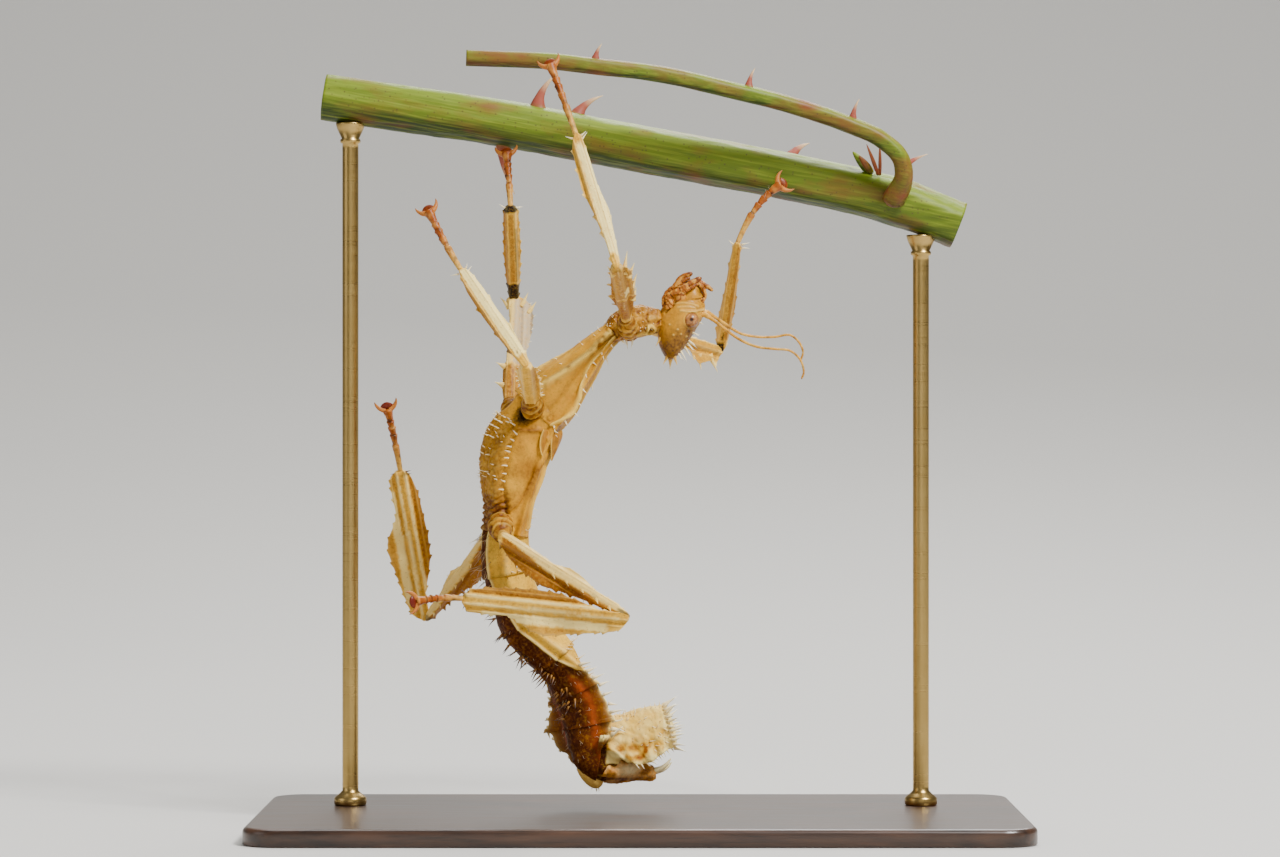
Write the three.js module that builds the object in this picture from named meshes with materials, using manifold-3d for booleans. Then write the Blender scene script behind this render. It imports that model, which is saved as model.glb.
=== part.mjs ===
// A giant prickly stick insect, a young female at life size, hanging by its feet from a cut length of
// bramble cane and its leaf stalk, on a plain display stand.
//
// Millimetres, +Z up. The origin is the middle of the stand base's underside. +X runs from the insect's
// tail side to its head side, and -Y is the insect's left. Left and right in the names are the insect's own.
import * as THREE from 'three';
import { mergeVertices } from 'three/addons/utils/BufferGeometryUtils.js';
import Module from 'manifold-3d';

const wasm = await Module();
wasm.setup();

// ---------------------------------------------------------------- driving dimensions

const GAP = 0.3; // clear space between neighbouring pieces
const EDGE = 0.55; // thickness of a leg blade at its rim

const BASE = { length: 130, depth: 66, thickness: 3, corner: 6 };
const ROD = { radius: 1.4, collarRadius: 2.8, collarHeight: 2.2, cupRadius: 2.6, cupHeight: 3.4, y: 11 };
const ROD_LEFT_X = -50;
const ROD_RIGHT_X = 48.5;

const CANE_RADIUS = 4.4;
const STALK_RADIUS = 1.6;
const ANTENNA_RADIUS = { base: 0.42, tip: 0.26 };
const EYE_RADIUS = 1.12;

// Profiles, each row a place and a radius: along a foot as a share of its length, past the toe in
// millimetres for its pad, and along a coxa as a share of its length and of its root radius.
const FOOT_RADII = [[0.02, 0.62], [0.25, 0.6], [0.3, 0.48], [0.55, 0.58], [0.6, 0.45], [0.92, 0.5]];
const PAD_RADII = [[0, 0.6], [0.6, 1.0], [1.3, 0.55]];
const COXA_RADII = [[0, 1], [0.35, 1.02], [0.75, 0.85], [1, 0.55]];
const CLAW = { length: 2.1, radius: 0.36, apart: 0.45, forward: 0.7, outward: 0.75 };
const PALP_RADIUS = { base: 0.45, tip: 0.3 };
const CROWN_SPINE_RADIUS = 0.38;
const CREST_SPINE_RADIUS = 0.5;
const CANE_THORN_RADIUS = 1.5;
const STALK_THORN_RADIUS = 0.8;

// Half thickness of a leg blade along its middle: at its start, its thickest and its end.
const FEMUR_CORE = [1.1, 1.15, 0.95];
const TIBIA_CORE = [0.9, 0.95, 0.75];
const CORE_PEAK = 0.3; // share of the length to the thickest place
const FEMUR_INSET = [0.5, 0.4]; // held back from the hip and from the knee
const TIBIA_INSET = [0.5, 0.3]; // held back from the knee and from the ankle
const BLADE_TEETH = 5; // along each flange

// ---------------------------------------------------------------- finishes

const finish = (color, roughness, metalness = 0) =>
  new THREE.MeshStandardMaterial({ color, roughness, metalness });
const STRAW = () => finish(0xd9b563, 0.55);
const TAN = () => finish(0xc9a057, 0.6);
const PALE = () => finish(0xe6cd8f, 0.6);
const RUST = () => finish(0xb8562f, 0.6);
const EYE = () => finish(0x9c6a4c, 0.3);
const CANE = () => finish(0x7f9a3f, 0.5);
const BASE_WOOD = () => finish(0x3b2a20, 0.45);
const ROD_METAL = () => finish(0xb5a36a, 0.3, 1);

// ---------------------------------------------------------------- small tools

const vec = (x, y, z) => new THREE.Vector3(x, y, z);
const NEAR = vec(0, -1, 0);

const model = new THREE.Group();

// A closed indexed geometry as a solid, turned right side out.
function solidOf(geometry) {
  const bare = geometry.clone();
  bare.deleteAttribute('normal');
  bare.deleteAttribute('uv');
  const merged = mergeVertices(bare, 1e-4);
  const triVerts = new Uint32Array(merged.index.array);
  const vertProperties = new Float32Array(merged.attributes.position.array);
  const made = new wasm.Manifold(new wasm.Mesh({ numProp: 3, vertProperties, triVerts }));
  if (made.volume() > 0) return made;
  for (let i = 0; i < triVerts.length; i += 3) {
    [triVerts[i + 1], triVerts[i + 2]] = [triVerts[i + 2], triVerts[i + 1]];
  }
  return new wasm.Manifold(new wasm.Mesh({ numProp: 3, vertProperties, triVerts }));
}

// Adds a solid to the model as one named mesh. Crumbs left by a cut are dropped.
function piece(name, solid, material) {
  const whole = solid.decompose().sort((a, b) => b.volume() - a.volume())[0];
  const mesh = whole.getMesh();
  const geometry = new THREE.BufferGeometry();
  geometry.setAttribute('position', new THREE.BufferAttribute(mesh.vertProperties, 3));
  geometry.setIndex(new THREE.BufferAttribute(mesh.triVerts, 1));
  const made = new THREE.Mesh(geometry, material);
  made.name = name;
  model.add(made);
  return whole;
}

// A closed skin over rings of equal length, with a fan over each end.
function loft(rings) {
  const sides = rings[0].length;
  const points = rings.flat();
  const middle = (ring) => ring.reduce((sum, p) => sum.clone().add(p)).divideScalar(sides);
  points.push(middle(rings[0]), middle(rings.at(-1)));
  const [first, last] = [points.length - 2, points.length - 1];
  const index = [];
  for (let i = 0; i < sides; i += 1) {
    const j = (i + 1) % sides;
    for (let r = 0; r + 1 < rings.length; r += 1) {
      const [a, b, c, d] = [r * sides + i, r * sides + j, (r + 1) * sides + j, (r + 1) * sides + i];
      index.push(a, b, c, a, c, d);
    }
    const end = (rings.length - 1) * sides;
    index.push(first, j, i, last, end + i, end + j);
  }
  const geometry = new THREE.BufferGeometry().setFromPoints(points);
  geometry.setIndex(index);
  return solidOf(geometry);
}

// A ring of round section about a point, square to a direction.
function circle(centre, direction, radius, sides) {
  const across = vec(0, 0, 0).crossVectors(direction, NEAR).normalize();
  if (across.lengthSq() < 0.5) across.set(1, 0, 0);
  const other = vec(0, 0, 0).crossVectors(direction, across).normalize();
  return Array.from({ length: sides }, (_, i) => {
    const angle = (2 * Math.PI * i) / sides;
    return centre
      .clone()
      .addScaledVector(across, radius * Math.cos(angle))
      .addScaledVector(other, radius * Math.sin(angle));
  });
}

// A round bar along a smooth line, its radius a function of the way along it.
function bar(line, radiusAt, sides, steps) {
  const rings = [];
  for (let i = 0; i <= steps; i += 1) {
    const t = i / steps;
    rings.push(circle(line.getPointAt(t), line.getTangentAt(t), radiusAt(t), sides));
  }
  return loft(rings);
}

// A spine: a narrow three-sided pyramid, sunk at its root by its own radius.
function spine(root, tip, radius) {
  const way = tip.clone().sub(root).normalize();
  const height = tip.distanceTo(root) + radius;
  const pyramid = new THREE.ConeGeometry(radius, height, 3);
  pyramid.translate(0, -height / 2, 0);
  pyramid.applyQuaternion(new THREE.Quaternion().setFromUnitVectors(vec(0, 1, 0), way));
  pyramid.translate(tip.x, tip.y, tip.z);
  return solidOf(pyramid);
}

// A hooked thorn: round at its root, bent towards bend at half its height.
function thorn(root, tip, radius, bend) {
  const way = tip.clone().sub(root);
  const sunk = root.clone().addScaledVector(way.clone().normalize(), -radius);
  const middle = root.clone().lerp(tip, 0.5).add(bend);
  return loft([
    circle(sunk, way, radius, 5),
    circle(middle, way, radius * 0.5, 5),
    circle(tip, way, radius * 0.1, 5),
  ]);
}

const joined = (solids) => solids.reduce((all, next) => all.add(next));
const lerp = THREE.MathUtils.lerp;
const smooth = (t) => THREE.MathUtils.smoothstep(t, 0, 1);

// Rises from start to peak at the place given, then falls to end.
function hump(t, start, peak, end, place) {
  if (t < place) return lerp(start, peak, smooth(t / place));
  return lerp(peak, end, smooth((t - place) / (1 - place)));
}

// ---------------------------------------------------------------- trunk and abdomen

// The body line from the neck to the tail. Each row: x, y, z of the middle, then half width, height of
// back, height of belly, and how far the belly is rolled towards the left side, in degrees.
const BODY = [
  [2.9, 0, 86.3, 2.2, 2.1, 2.1, 5], // 0 neck
  [0.0, 0, 86.1, 2.9, 2.6, 2.9, 8],
  [-3.1, 0, 85.3, 2.9, 2.5, 2.7, 12],
  [-4.9, 0, 84.1, 2.3, 1.9, 1.9, 15], // 3 waist behind the prothorax
  [-7.7, 0, 81.5, 2.8, 2.3, 2.3, 20],
  [-10.5, 0, 78.3, 3.7, 3.2, 3.1, 22],
  [-13.6, 0, 74.9, 4.7, 4.2, 4.1, 25],
  [-15.6, 0, 72.5, 5.1, 4.7, 4.5, 27], // 7 back of the mesothorax
  [-17.9, 0, 70.3, 5.3, 4.9, 4.8, 28],
  [-19.7, 0, 67.4, 5.6, 5.1, 5.2, 30],
  [-21.1, 0, 64.3, 5.8, 5.3, 5.4, 30],
  [-21.9, 0, 59.2, 5.2, 4.8, 4.9, 28], // 11 hind coxae follow
  [-22.6, 0, 53.6, 4.4, 4.0, 3.8, 20],
  [-23.4, 0, 48.2, 4.4, 4.6, 3.8, 12], // 13 abdomen begins
  [-23.1, 0, 43.1, 4.8, 4.7, 3.7, 8],
  [-21.6, 0, 38.5, 5.0, 4.7, 3.8, 10],
  [-19.9, 0.2, 34.4, 5.0, 4.8, 3.9, 14],
  [-17.0, 0.4, 31.2, 5.0, 4.7, 3.9, 20],
  [-14.6, 0.6, 28.6, 4.9, 4.1, 3.6, 28],
  [-12.4, 0.8, 25.2, 4.7, 3.1, 2.9, 42], // 19 the roll is strongest from here
  [-10.7, 1.0, 21.8, 4.7, 2.8, 2.8, 52],
  [-9.5, 1.0, 18.1, 4.6, 2.8, 3.4, 50],
  [-8.6, 1.0, 15.0, 4.4, 2.8, 5.3, 42],
  [-6.7, 1.0, 12.9, 4.1, 2.8, 6.0, 30], // 23 the tail curls up over the back
  [-3.9, 1.0, 13.5, 3.8, 3.2, 1.9, 20],
  [-1.0, 1.0, 15.3, 3.6, 3.4, 2.2, 15],
  [2.0, 1.0, 17.0, 3.4, 3.2, 2.6, 12],
  [5.1, 1.0, 18.3, 2.7, 2.5, 2.5, 12], // 27 tail tip
];
const BODY_LINE = new THREE.CatmullRomCurve3(BODY.map(([x, y, z]) => vec(x, y, z)));

// One side of each cross section, belly to back: how far out, and how far down or up.
const TRUNK_SECTION = [
  [0, -1], [0.45, -0.97], [0.68, -0.8], [0.92, -0.25], [0.94, 0.15], [1.1, 0.36], [0.9, 0.55], [0.5, 0.88],
  [0, 1],
];
const ABDOMEN_SECTION = [
  [0, -1], [0.5, -0.84], [0.85, -0.4], [1.05, -0.12], [1.05, 0.06], [0.8, 0.45], [0.45, 0.85], [0, 1],
];

// The body at a row number, which may fall between rows: its middle, its three directions and its sizes.
function bodyAt(row) {
  const t = row / (BODY.length - 1);
  const from = BODY[Math.min(Math.floor(row), BODY.length - 2)];
  const to = BODY[Math.min(Math.floor(row), BODY.length - 2) + 1];
  const part = row - Math.min(Math.floor(row), BODY.length - 2);
  const [width, back, belly, roll] = [3, 4, 5, 6].map((column) => lerp(from[column], to[column], part));
  const along = BODY_LINE.getTangent(t);
  const level = vec(0, 0, 0).crossVectors(NEAR, along).normalize();
  const out = NEAR.clone().applyAxisAngle(along, -THREE.MathUtils.degToRad(roll));
  const up = level.applyAxisAngle(along, -THREE.MathUtils.degToRad(roll));
  return { centre: BODY_LINE.getPoint(t), along, out, up, width, back, belly };
}

// A place on or off the body: out and up are shares of its half width and height there.
function onBody(row, out, up, extra = 0) {
  const at = bodyAt(row);
  return at.centre
    .clone()
    .addScaledVector(at.out, out * at.width + Math.sign(out) * extra)
    .addScaledVector(at.up, up * (up > 0 ? at.back : at.belly));
}

// A stretch of the body between two rows. flare widens its hind end, lobe widens its rims, grow thickens
// it all round.
function bodyLength(start, end, section, steps, { flare = 0, lobe = () => 0, grow = 0 } = {}) {
  const mirrored = section.slice(1, -1).reverse().map(([out, up]) => [-out, up]);
  const rings = [];
  for (let i = 0; i <= steps; i += 1) {
    const t = i / steps;
    const at = bodyAt(lerp(start, end, t));
    const swell = 1 + flare * (t - 0.5);
    const ring = [...section, ...mirrored].map(([out, up]) => {
      const rim = Math.abs(out) > 1 ? lobe(t, out) : 0;
      const sideways = out * at.width * swell + Math.sign(out) * (rim + grow);
      const upwards = up * (up > 0 ? at.back : at.belly) * swell + Math.sign(up) * grow;
      const lengthways = grow * (2 * t - 1);
      return at.centre
        .clone()
        .addScaledVector(at.out, sideways)
        .addScaledVector(at.up, upwards)
        .addScaledVector(at.along, lengthways);
    });
    rings.push(ring);
  }
  return loft(rings);
}

// A row of spines on both sides of the body, standing off it.
const BODY_SPINE = { radius: 0.28, sunk: 0.3 };
function bodySpines(start, end, count, out, up, length) {
  const spines = [];
  for (const side of [-1, 1]) {
    for (let i = 0; i < count; i += 1) {
      const row = lerp(start, end, (i + 0.5) / count);
      const at = bodyAt(row);
      const root = onBody(row, side * out, up);
      const way = root.clone().sub(at.centre).normalize();
      const foot = root.clone().addScaledVector(way, -BODY_SPINE.sunk);
      const tip = root.clone().addScaledVector(way, length);
      spines.push(spine(foot, tip, BODY_SPINE.radius));
    }
  }
  return joined(spines);
}

const ROW_GAP = 0.1; // share of a row that keeps the gap between two body lengths
const trunkGrown = joined([
  bodyLength(0, 3.05, TRUNK_SECTION, 6, { grow: GAP }),
  bodyLength(3.05, 7.9, TRUNK_SECTION, 8, { grow: GAP }),
  bodyLength(7.9, 12.6, TRUNK_SECTION, 8, { grow: GAP }),
]);
const bodyGrown = trunkGrown.add(bodyLength(12.6, 16, ABDOMEN_SECTION, 8, { grow: GAP, flare: 0.1 }));

const prothorax = bodyLength(0, 3, TRUNK_SECTION, 6)
  .add(bodySpines(0.8, 2.8, 2, 0.35, 0.95, 1.3));
const mesothorax = bodyLength(3 + ROW_GAP, 7.8, TRUNK_SECTION, 5)
  .add(bodySpines(3.4, 7.6, 5, 1.08, 0.36, 1.0));
const metathorax = bodyLength(7.8 + ROW_GAP * 1.4, 12.6, TRUNK_SECTION, 6)
  .add(bodySpines(8.4, 11.6, 4, 0.66, -0.8, 1.3))
  .add(bodySpines(8.8, 11.0, 2, 0.15, -0.98, 1.1));
piece('prothorax', prothorax, TAN());
piece('mesothorax', mesothorax, STRAW());
piece('metathorax', metathorax, STRAW());

// The abdomen: six rings, each wider behind, then the tail. Its rims spread into leaf-like lobes on the sixth
// and seventh rings, and those of the right side spread further. Each row: width of the rim at the ring's
// front and back.
const ABDOMEN_ROWS = [12.6, 14, 16, 18, 19.7, 21.2, 23, 27];
const RIMS = [[0, 0.2], [0, 0.3], [0, 0.4], [0.1, 0.5], [0.8, 1.7], [1.2, 0.2], [0.3, 0.4]];
const RIGHT_SPREAD = 1.6;
const RING_FLARE = 0.07;
const grownLengths = [trunkGrown]; // each piece with the gap round it, front to back
RIMS.forEach((rimWidths, i) => {
  const [start, end] = [ABDOMEN_ROWS[i], ABDOMEN_ROWS[i + 1]];
  const last = i === RIMS.length - 1;
  const shape = {
    flare: last ? 0 : RING_FLARE,
    lobe: (t, side) => lerp(...rimWidths, t) * (side < 0 ? RIGHT_SPREAD : 1),
  };
  const ring = (grow) => bodyLength(start, end, ABDOMEN_SECTION, last ? 6 : 3, { ...shape, grow });
  const rimSpines = bodySpines(start + 0.4, end - 0.15, last ? 4 : 2, 1.08, -0.03, 1.1);
  const solid = ring(0).add(rimSpines).subtract(grownLengths.at(-1));
  piece(last ? 'abdomen_8_to_10' : `abdomen_${i + 2}`, solid, i < 3 ? PALE() : TAN());
  grownLengths.push(ring(GAP));
});

// The operculum, a keeled scoop under the tail tip.
const OPERCULUM_LINE = new THREE.CatmullRomCurve3([
  vec(-8.4, 1.2, 9.4), vec(-4.2, 1.2, 9.3), vec(-0.8, 1.1, 9.5), vec(2.6, 1.0, 9.2),
]);
const operculum = loft(
  [0, 0.15, 0.35, 0.6, 0.85, 1].map((t) => {
    const ring = circle(OPERCULUM_LINE.getPointAt(t), vec(1, 0, 0), 1, 10);
    const centre = OPERCULUM_LINE.getPointAt(t);
    const [tall, wide] = [hump(t, 1.2, 2.1, 0.7, 0.3), hump(t, 1.4, 2.6, 0.8, 0.3)];
    return ring.map((p) => vec(p.x, centre.y + (p.y - centre.y) * wide, centre.z + (p.z - centre.z) * tall));
  }),
)
  .add(spine(vec(-6.6, 1.2, 8.2), vec(-7.7, 1.2, 6.3), 0.6))
  .subtract(grownLengths.at(-1))
  .subtract(grownLengths.at(-2));
piece('operculum', operculum, RUST());

// Wing pads: a pointed flap behind each side of the mesothorax, and a smaller one behind it.
for (const [side, word] of [[1, 'left'], [-1, 'right']]) {
  const pad = (start, end, low, high, lift) => {
    const rings = [0, 0.5, 1].map((t) => {
      const row = lerp(start, end, t);
      const half = lerp(1, 0.12, t) * (high - low) * 0.5;
      const middle = (low + high) / 2;
      const inner = lift + 0.3;
      const outer = inner + EDGE;
      return [
        onBody(row, side, middle - half, inner),
        onBody(row, side, middle + half, inner),
        onBody(row, side, middle + half, outer),
        onBody(row, side, middle - half, outer),
      ];
    });
    return loft(rings).subtract(trunkGrown);
  };
  piece(`forewing_pad_${word}`, pad(8.05, 9.9, 0.3, 0.8, 0.75), RUST());
  piece(`hindwing_pad_${word}`, pad(8.8, 9.9, -0.15, 0.22, 0.35), RUST());
}

// ---------------------------------------------------------------- head

// The head hangs crown down. Each row: x and z of the middle, half depth front to back, half width.
const HEAD = [
  [7.8, 89.7, 3.0, 2.5],
  [7.5, 88.8, 3.6, 2.9],
  [7.15, 87.6, 3.85, 3.2],
  [6.8, 86.4, 3.75, 3.3],
  [6.4, 85.1, 3.3, 3.2],
  [5.95, 83.7, 2.9, 3.0],
  [5.6, 82.2, 2.35, 2.6],
  [5.35, 81.0, 1.6, 2.0],
  [5.2, 80.0, 0.8, 1.1],
];

function headLoft(grow) {
  const sides = 10;
  return loft(
    HEAD.map(([x, z, depth, width]) =>
      Array.from({ length: sides }, (_, i) => {
        const angle = (2 * Math.PI * i) / sides;
        return vec(x + (depth + grow) * Math.cos(angle), (width + grow) * Math.sin(angle), z);
      }),
    ),
  );
}

const EYE_PLACE = vec(8.8, 2.5, 86.4);
const eyeBall = (side, radius) => {
  const ball = new THREE.SphereGeometry(radius, 10, 6);
  ball.translate(EYE_PLACE.x, side * EYE_PLACE.y, EYE_PLACE.z);
  return solidOf(ball);
};

const CROWN_SPINES = [
  [vec(4.9, 0.6, 80.3), vec(3.9, 0.9, 78.9)],
  [vec(5.2, 0, 80.1), vec(5.2, 0, 78.2)],
  [vec(5.6, 0.6, 80.4), vec(6.2, 0.9, 78.8)],
  [vec(6.8, 1.1, 81.6), vec(8.2, 1.4, 80.0)],
  [vec(7.6, 1.3, 83.0), vec(9.2, 1.7, 81.5)],
];
const mirrorY = (p) => vec(p.x, -p.y, p.z);
let head = headLoft(0);
for (const [root, tip] of CROWN_SPINES) {
  head = head
    .add(spine(root, tip, CROWN_SPINE_RADIUS))
    .add(spine(mirrorY(root), mirrorY(tip), CROWN_SPINE_RADIUS));
}
for (const side of [-1, 1]) head = head.subtract(eyeBall(side, EYE_RADIUS + GAP));
head = head.subtract(bodyLength(0, 0.5, TRUNK_SECTION, 2, { grow: GAP }));
piece('head', head, TAN());
piece('eye_left', eyeBall(-1, EYE_RADIUS), EYE());
piece('eye_right', eyeBall(1, EYE_RADIUS), EYE());

// Mouthparts: the upper lip in front, the jaws and lower lip behind it, and four palps.
const MOUTH = [
  [7.6, 89.4, 3.1, 2.4],
  [8.0, 90.6, 2.9, 2.3],
  [8.5, 91.8, 2.1, 1.9],
  [8.8, 92.8, 1.0, 1.1],
];
let mouth = loft(
  MOUTH.map(([x, z, depth, width]) => {
    const ring = circle(vec(0, 0, z), vec(0, 0, 1), 1, 10);
    return ring.map((p) => vec(x + p.x * depth, p.y * width, z));
  }),
);
const JAW_PALP = [vec(6.0, 1.5, 91.0), vec(7.2, 1.9, 93.0), vec(8.9, 1.8, 94.3)];
const LIP_PALP = [vec(8.2, 1.4, 92.0), vec(9.2, 1.7, 93.2), vec(10.5, 1.5, 93.8)];
const FRONT_PALP = [vec(9.6, 0.5, 92.2), vec(11.0, 0.6, 92.6), vec(12.4, 0.5, 91.6)];
const palpRadius = (t) => lerp(PALP_RADIUS.base, PALP_RADIUS.tip, t);
for (const points of [JAW_PALP, JAW_PALP.map(mirrorY), LIP_PALP, LIP_PALP.map(mirrorY), FRONT_PALP]) {
  mouth = mouth.add(bar(new THREE.CatmullRomCurve3(points), palpRadius, 5, 3));
}
piece('mouthparts', mouth.subtract(headLoft(GAP)), RUST());

// Antennae: thick first joint, then a long fine whip that turns down at its tip.
const ANTENNAE = {
  left: [
    [11.2, -1.4, 87.2], [13.9, -3, 85.2], [16.9, -4.5, 83.0], [19.7, -5.5, 81.8], [22.8, -6, 81.4],
    [25.3, -6, 81.1], [27.0, -6, 79.6], [27.6, -6, 77.5], [27.2, -6, 76.3],
  ],
  right: [
    [11.2, 1.4, 87.8], [14.0, 3, 86.2], [17.1, 4, 84.3], [20.0, 4.5, 83.7], [23.1, 5, 83.7],
    [25.7, 5, 84.0], [27.2, 5, 82.8], [27.9, 5, 81.1], [27.4, 5, 79.4],
  ],
};
for (const [word, points] of Object.entries(ANTENNAE)) {
  const line = new THREE.CatmullRomCurve3(points.map(([x, y, z]) => vec(x, y, z)));
  const radiusAt = (t) => lerp(ANTENNA_RADIUS.base, ANTENNA_RADIUS.tip, smooth(t * 5));
  piece(`antenna_${word}`, bar(line, radiusAt, 5, 13).subtract(headLoft(GAP)), STRAW());
}

// ---------------------------------------------------------------- perch

const CANE_LINE = new THREE.CatmullRomCurve3([
  vec(-54.5, 11, 125.3), vec(-24.2, 11, 120.9), vec(-3.5, 11, 117.0), vec(19, 11, 112.8),
  vec(36.3, 11, 109.2), vec(44.9, 11, 106.9), vec(55, 11, 103.0),
]);
const STALK_LINE = new THREE.CatmullRomCurve3([
  vec(43.4, 6.2, 107.2), vec(45.0, 4, 110.8), vec(44.4, 3, 114.2), vec(41.0, 2.5, 117.4),
  vec(35.8, 2, 119.7), vec(27.2, 1, 122.6), vec(15.3, -1, 125.5), vec(3.4, -3, 128.0),
  vec(-6.8, -4.5, 129.1), vec(-15.5, -5.5, 130.0), vec(-29.3, -6, 130.5),
]);
const caneRadius = (t) => CANE_RADIUS * (1 + 0.06 * Math.exp(-(((t - 0.9) / 0.03) ** 2)));
const stalkRadius = (t) => STALK_RADIUS * (1 + 0.35 * Math.exp(-((t / 0.05) ** 2)));
const cane = (grow) => bar(CANE_LINE, (t) => caneRadius(t) + grow, 10, 10);
const stalk = (grow) => bar(STALK_LINE, (t) => stalkRadius(t) + grow, 6, 12);
const perchGrown = joined([cane(GAP), stalk(GAP)]);

const CANE_THORNS = [
  [vec(-23.3, 11, 117.0), vec(-21.6, 11, 108.4)],
  [vec(-17.5, 10, 123.0), vec(-14.4, 9.5, 129.0)],
  [vec(-10.8, 12, 121.8), vec(-6.4, 12.5, 125.6)],
  [vec(26, 13.5, 114.4), vec(29.5, 16, 117.6)],
];
const STALK_THORNS = [
  [vec(18.5, -0.6, 125.9), vec(19.6, -0.4, 129.3)],
  [vec(36.3, 2.0, 120.6), vec(37.4, 1.6, 124.2)],
  [vec(45.4, 3.2, 113.0), vec(49.2, 3.6, 114.9)],
  [vec(-7.5, -4.6, 130.2), vec(-6.4, -4.8, 133.2)],
];
const THORN_BEND = vec(-0.4, 0, 0);
const thorns = (list, radius) => joined(list.map(([root, tip]) => thorn(root, tip, radius, THORN_BEND)));
const caneThorns = thorns(CANE_THORNS, CANE_THORN_RADIUS);
const stalkThorns = thorns(STALK_THORNS, STALK_THORN_RADIUS);
piece('perch_cane', cane(0).add(caneThorns).subtract(stalk(GAP)), CANE());
piece('perch_stalk', stalk(0).add(stalkThorns).subtract(cane(GAP)), CANE());

// ---------------------------------------------------------------- legs

// A blade-like leg joint: a ridged middle with a thin toothed flange along each edge.
// side is the direction of the first flange; first and second give each flange's width along the joint.
function blade(joint, grow = 0) {
  const { start, end, side, first, second, core, depth, inset } = joint;
  const along = end.clone().sub(start).normalize();
  const across = side.clone().addScaledVector(along, -side.dot(along)).normalize();
  const face = vec(0, 0, 0).crossVectors(along, across);
  const from = start.clone().addScaledVector(along, inset[0] - grow);
  const to = end.clone().addScaledVector(along, grow - inset[1]);
  const rings = [];
  const steps = BLADE_TEETH * 2;
  for (let i = 0; i <= steps; i += 1) {
    const t = i / steps;
    const tooth = i % 2 === 1 ? depth * Math.min(1, 4 * (1 - t)) : 0;
    const [high, low] = [first(t) + tooth + grow, second(t) + tooth + grow];
    const thick = core(t) + grow;
    const rim = EDGE / 2 + grow;
    const corners = [
      [high, rim], [high * 0.4, thick], [-low * 0.4, thick], [-low, rim],
      [-low, -rim], [-low * 0.4, -thick], [high * 0.4, -thick], [high, -rim],
    ];
    const middle = from.clone().lerp(to, t);
    rings.push(corners.map(([a, b]) => middle.clone().addScaledVector(across, a).addScaledVector(face, b)));
  }
  return loft(rings);
}

// A foot: short joints narrowing towards the toe, where a soft pad swells between two claws.
function foot(ankle, middle, toe) {
  const line = new THREE.QuadraticBezierCurve3(ankle, middle, toe);
  const along = line.getTangent(1);
  const across = vec(0, 0, 0).crossVectors(along, NEAR).normalize();
  const shank = FOOT_RADII.map(([t, radius]) => circle(line.getPoint(t), line.getTangent(t), radius, 5));
  const pad = PAD_RADII.map(([past, radius]) => {
    const centre = toe.clone().addScaledVector(along, past);
    return circle(centre, along, radius, 5);
  });
  const claws = [-1, 1].map((side) => {
    const root = toe.clone().addScaledVector(across, side * CLAW.apart);
    const tip = root
      .clone()
      .addScaledVector(along, CLAW.forward * CLAW.length)
      .addScaledVector(across, side * CLAW.outward * CLAW.length);
    return spine(root, tip, CLAW.radius);
  });
  return joined([loft([...shank, ...pad]), ...claws]);
}

// The direction across a joint that shows its blade broadside from the insect's left.
const broadside = (start, end) => vec(0, 0, 0).crossVectors(end.clone().sub(start), NEAR).normalize();

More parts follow.
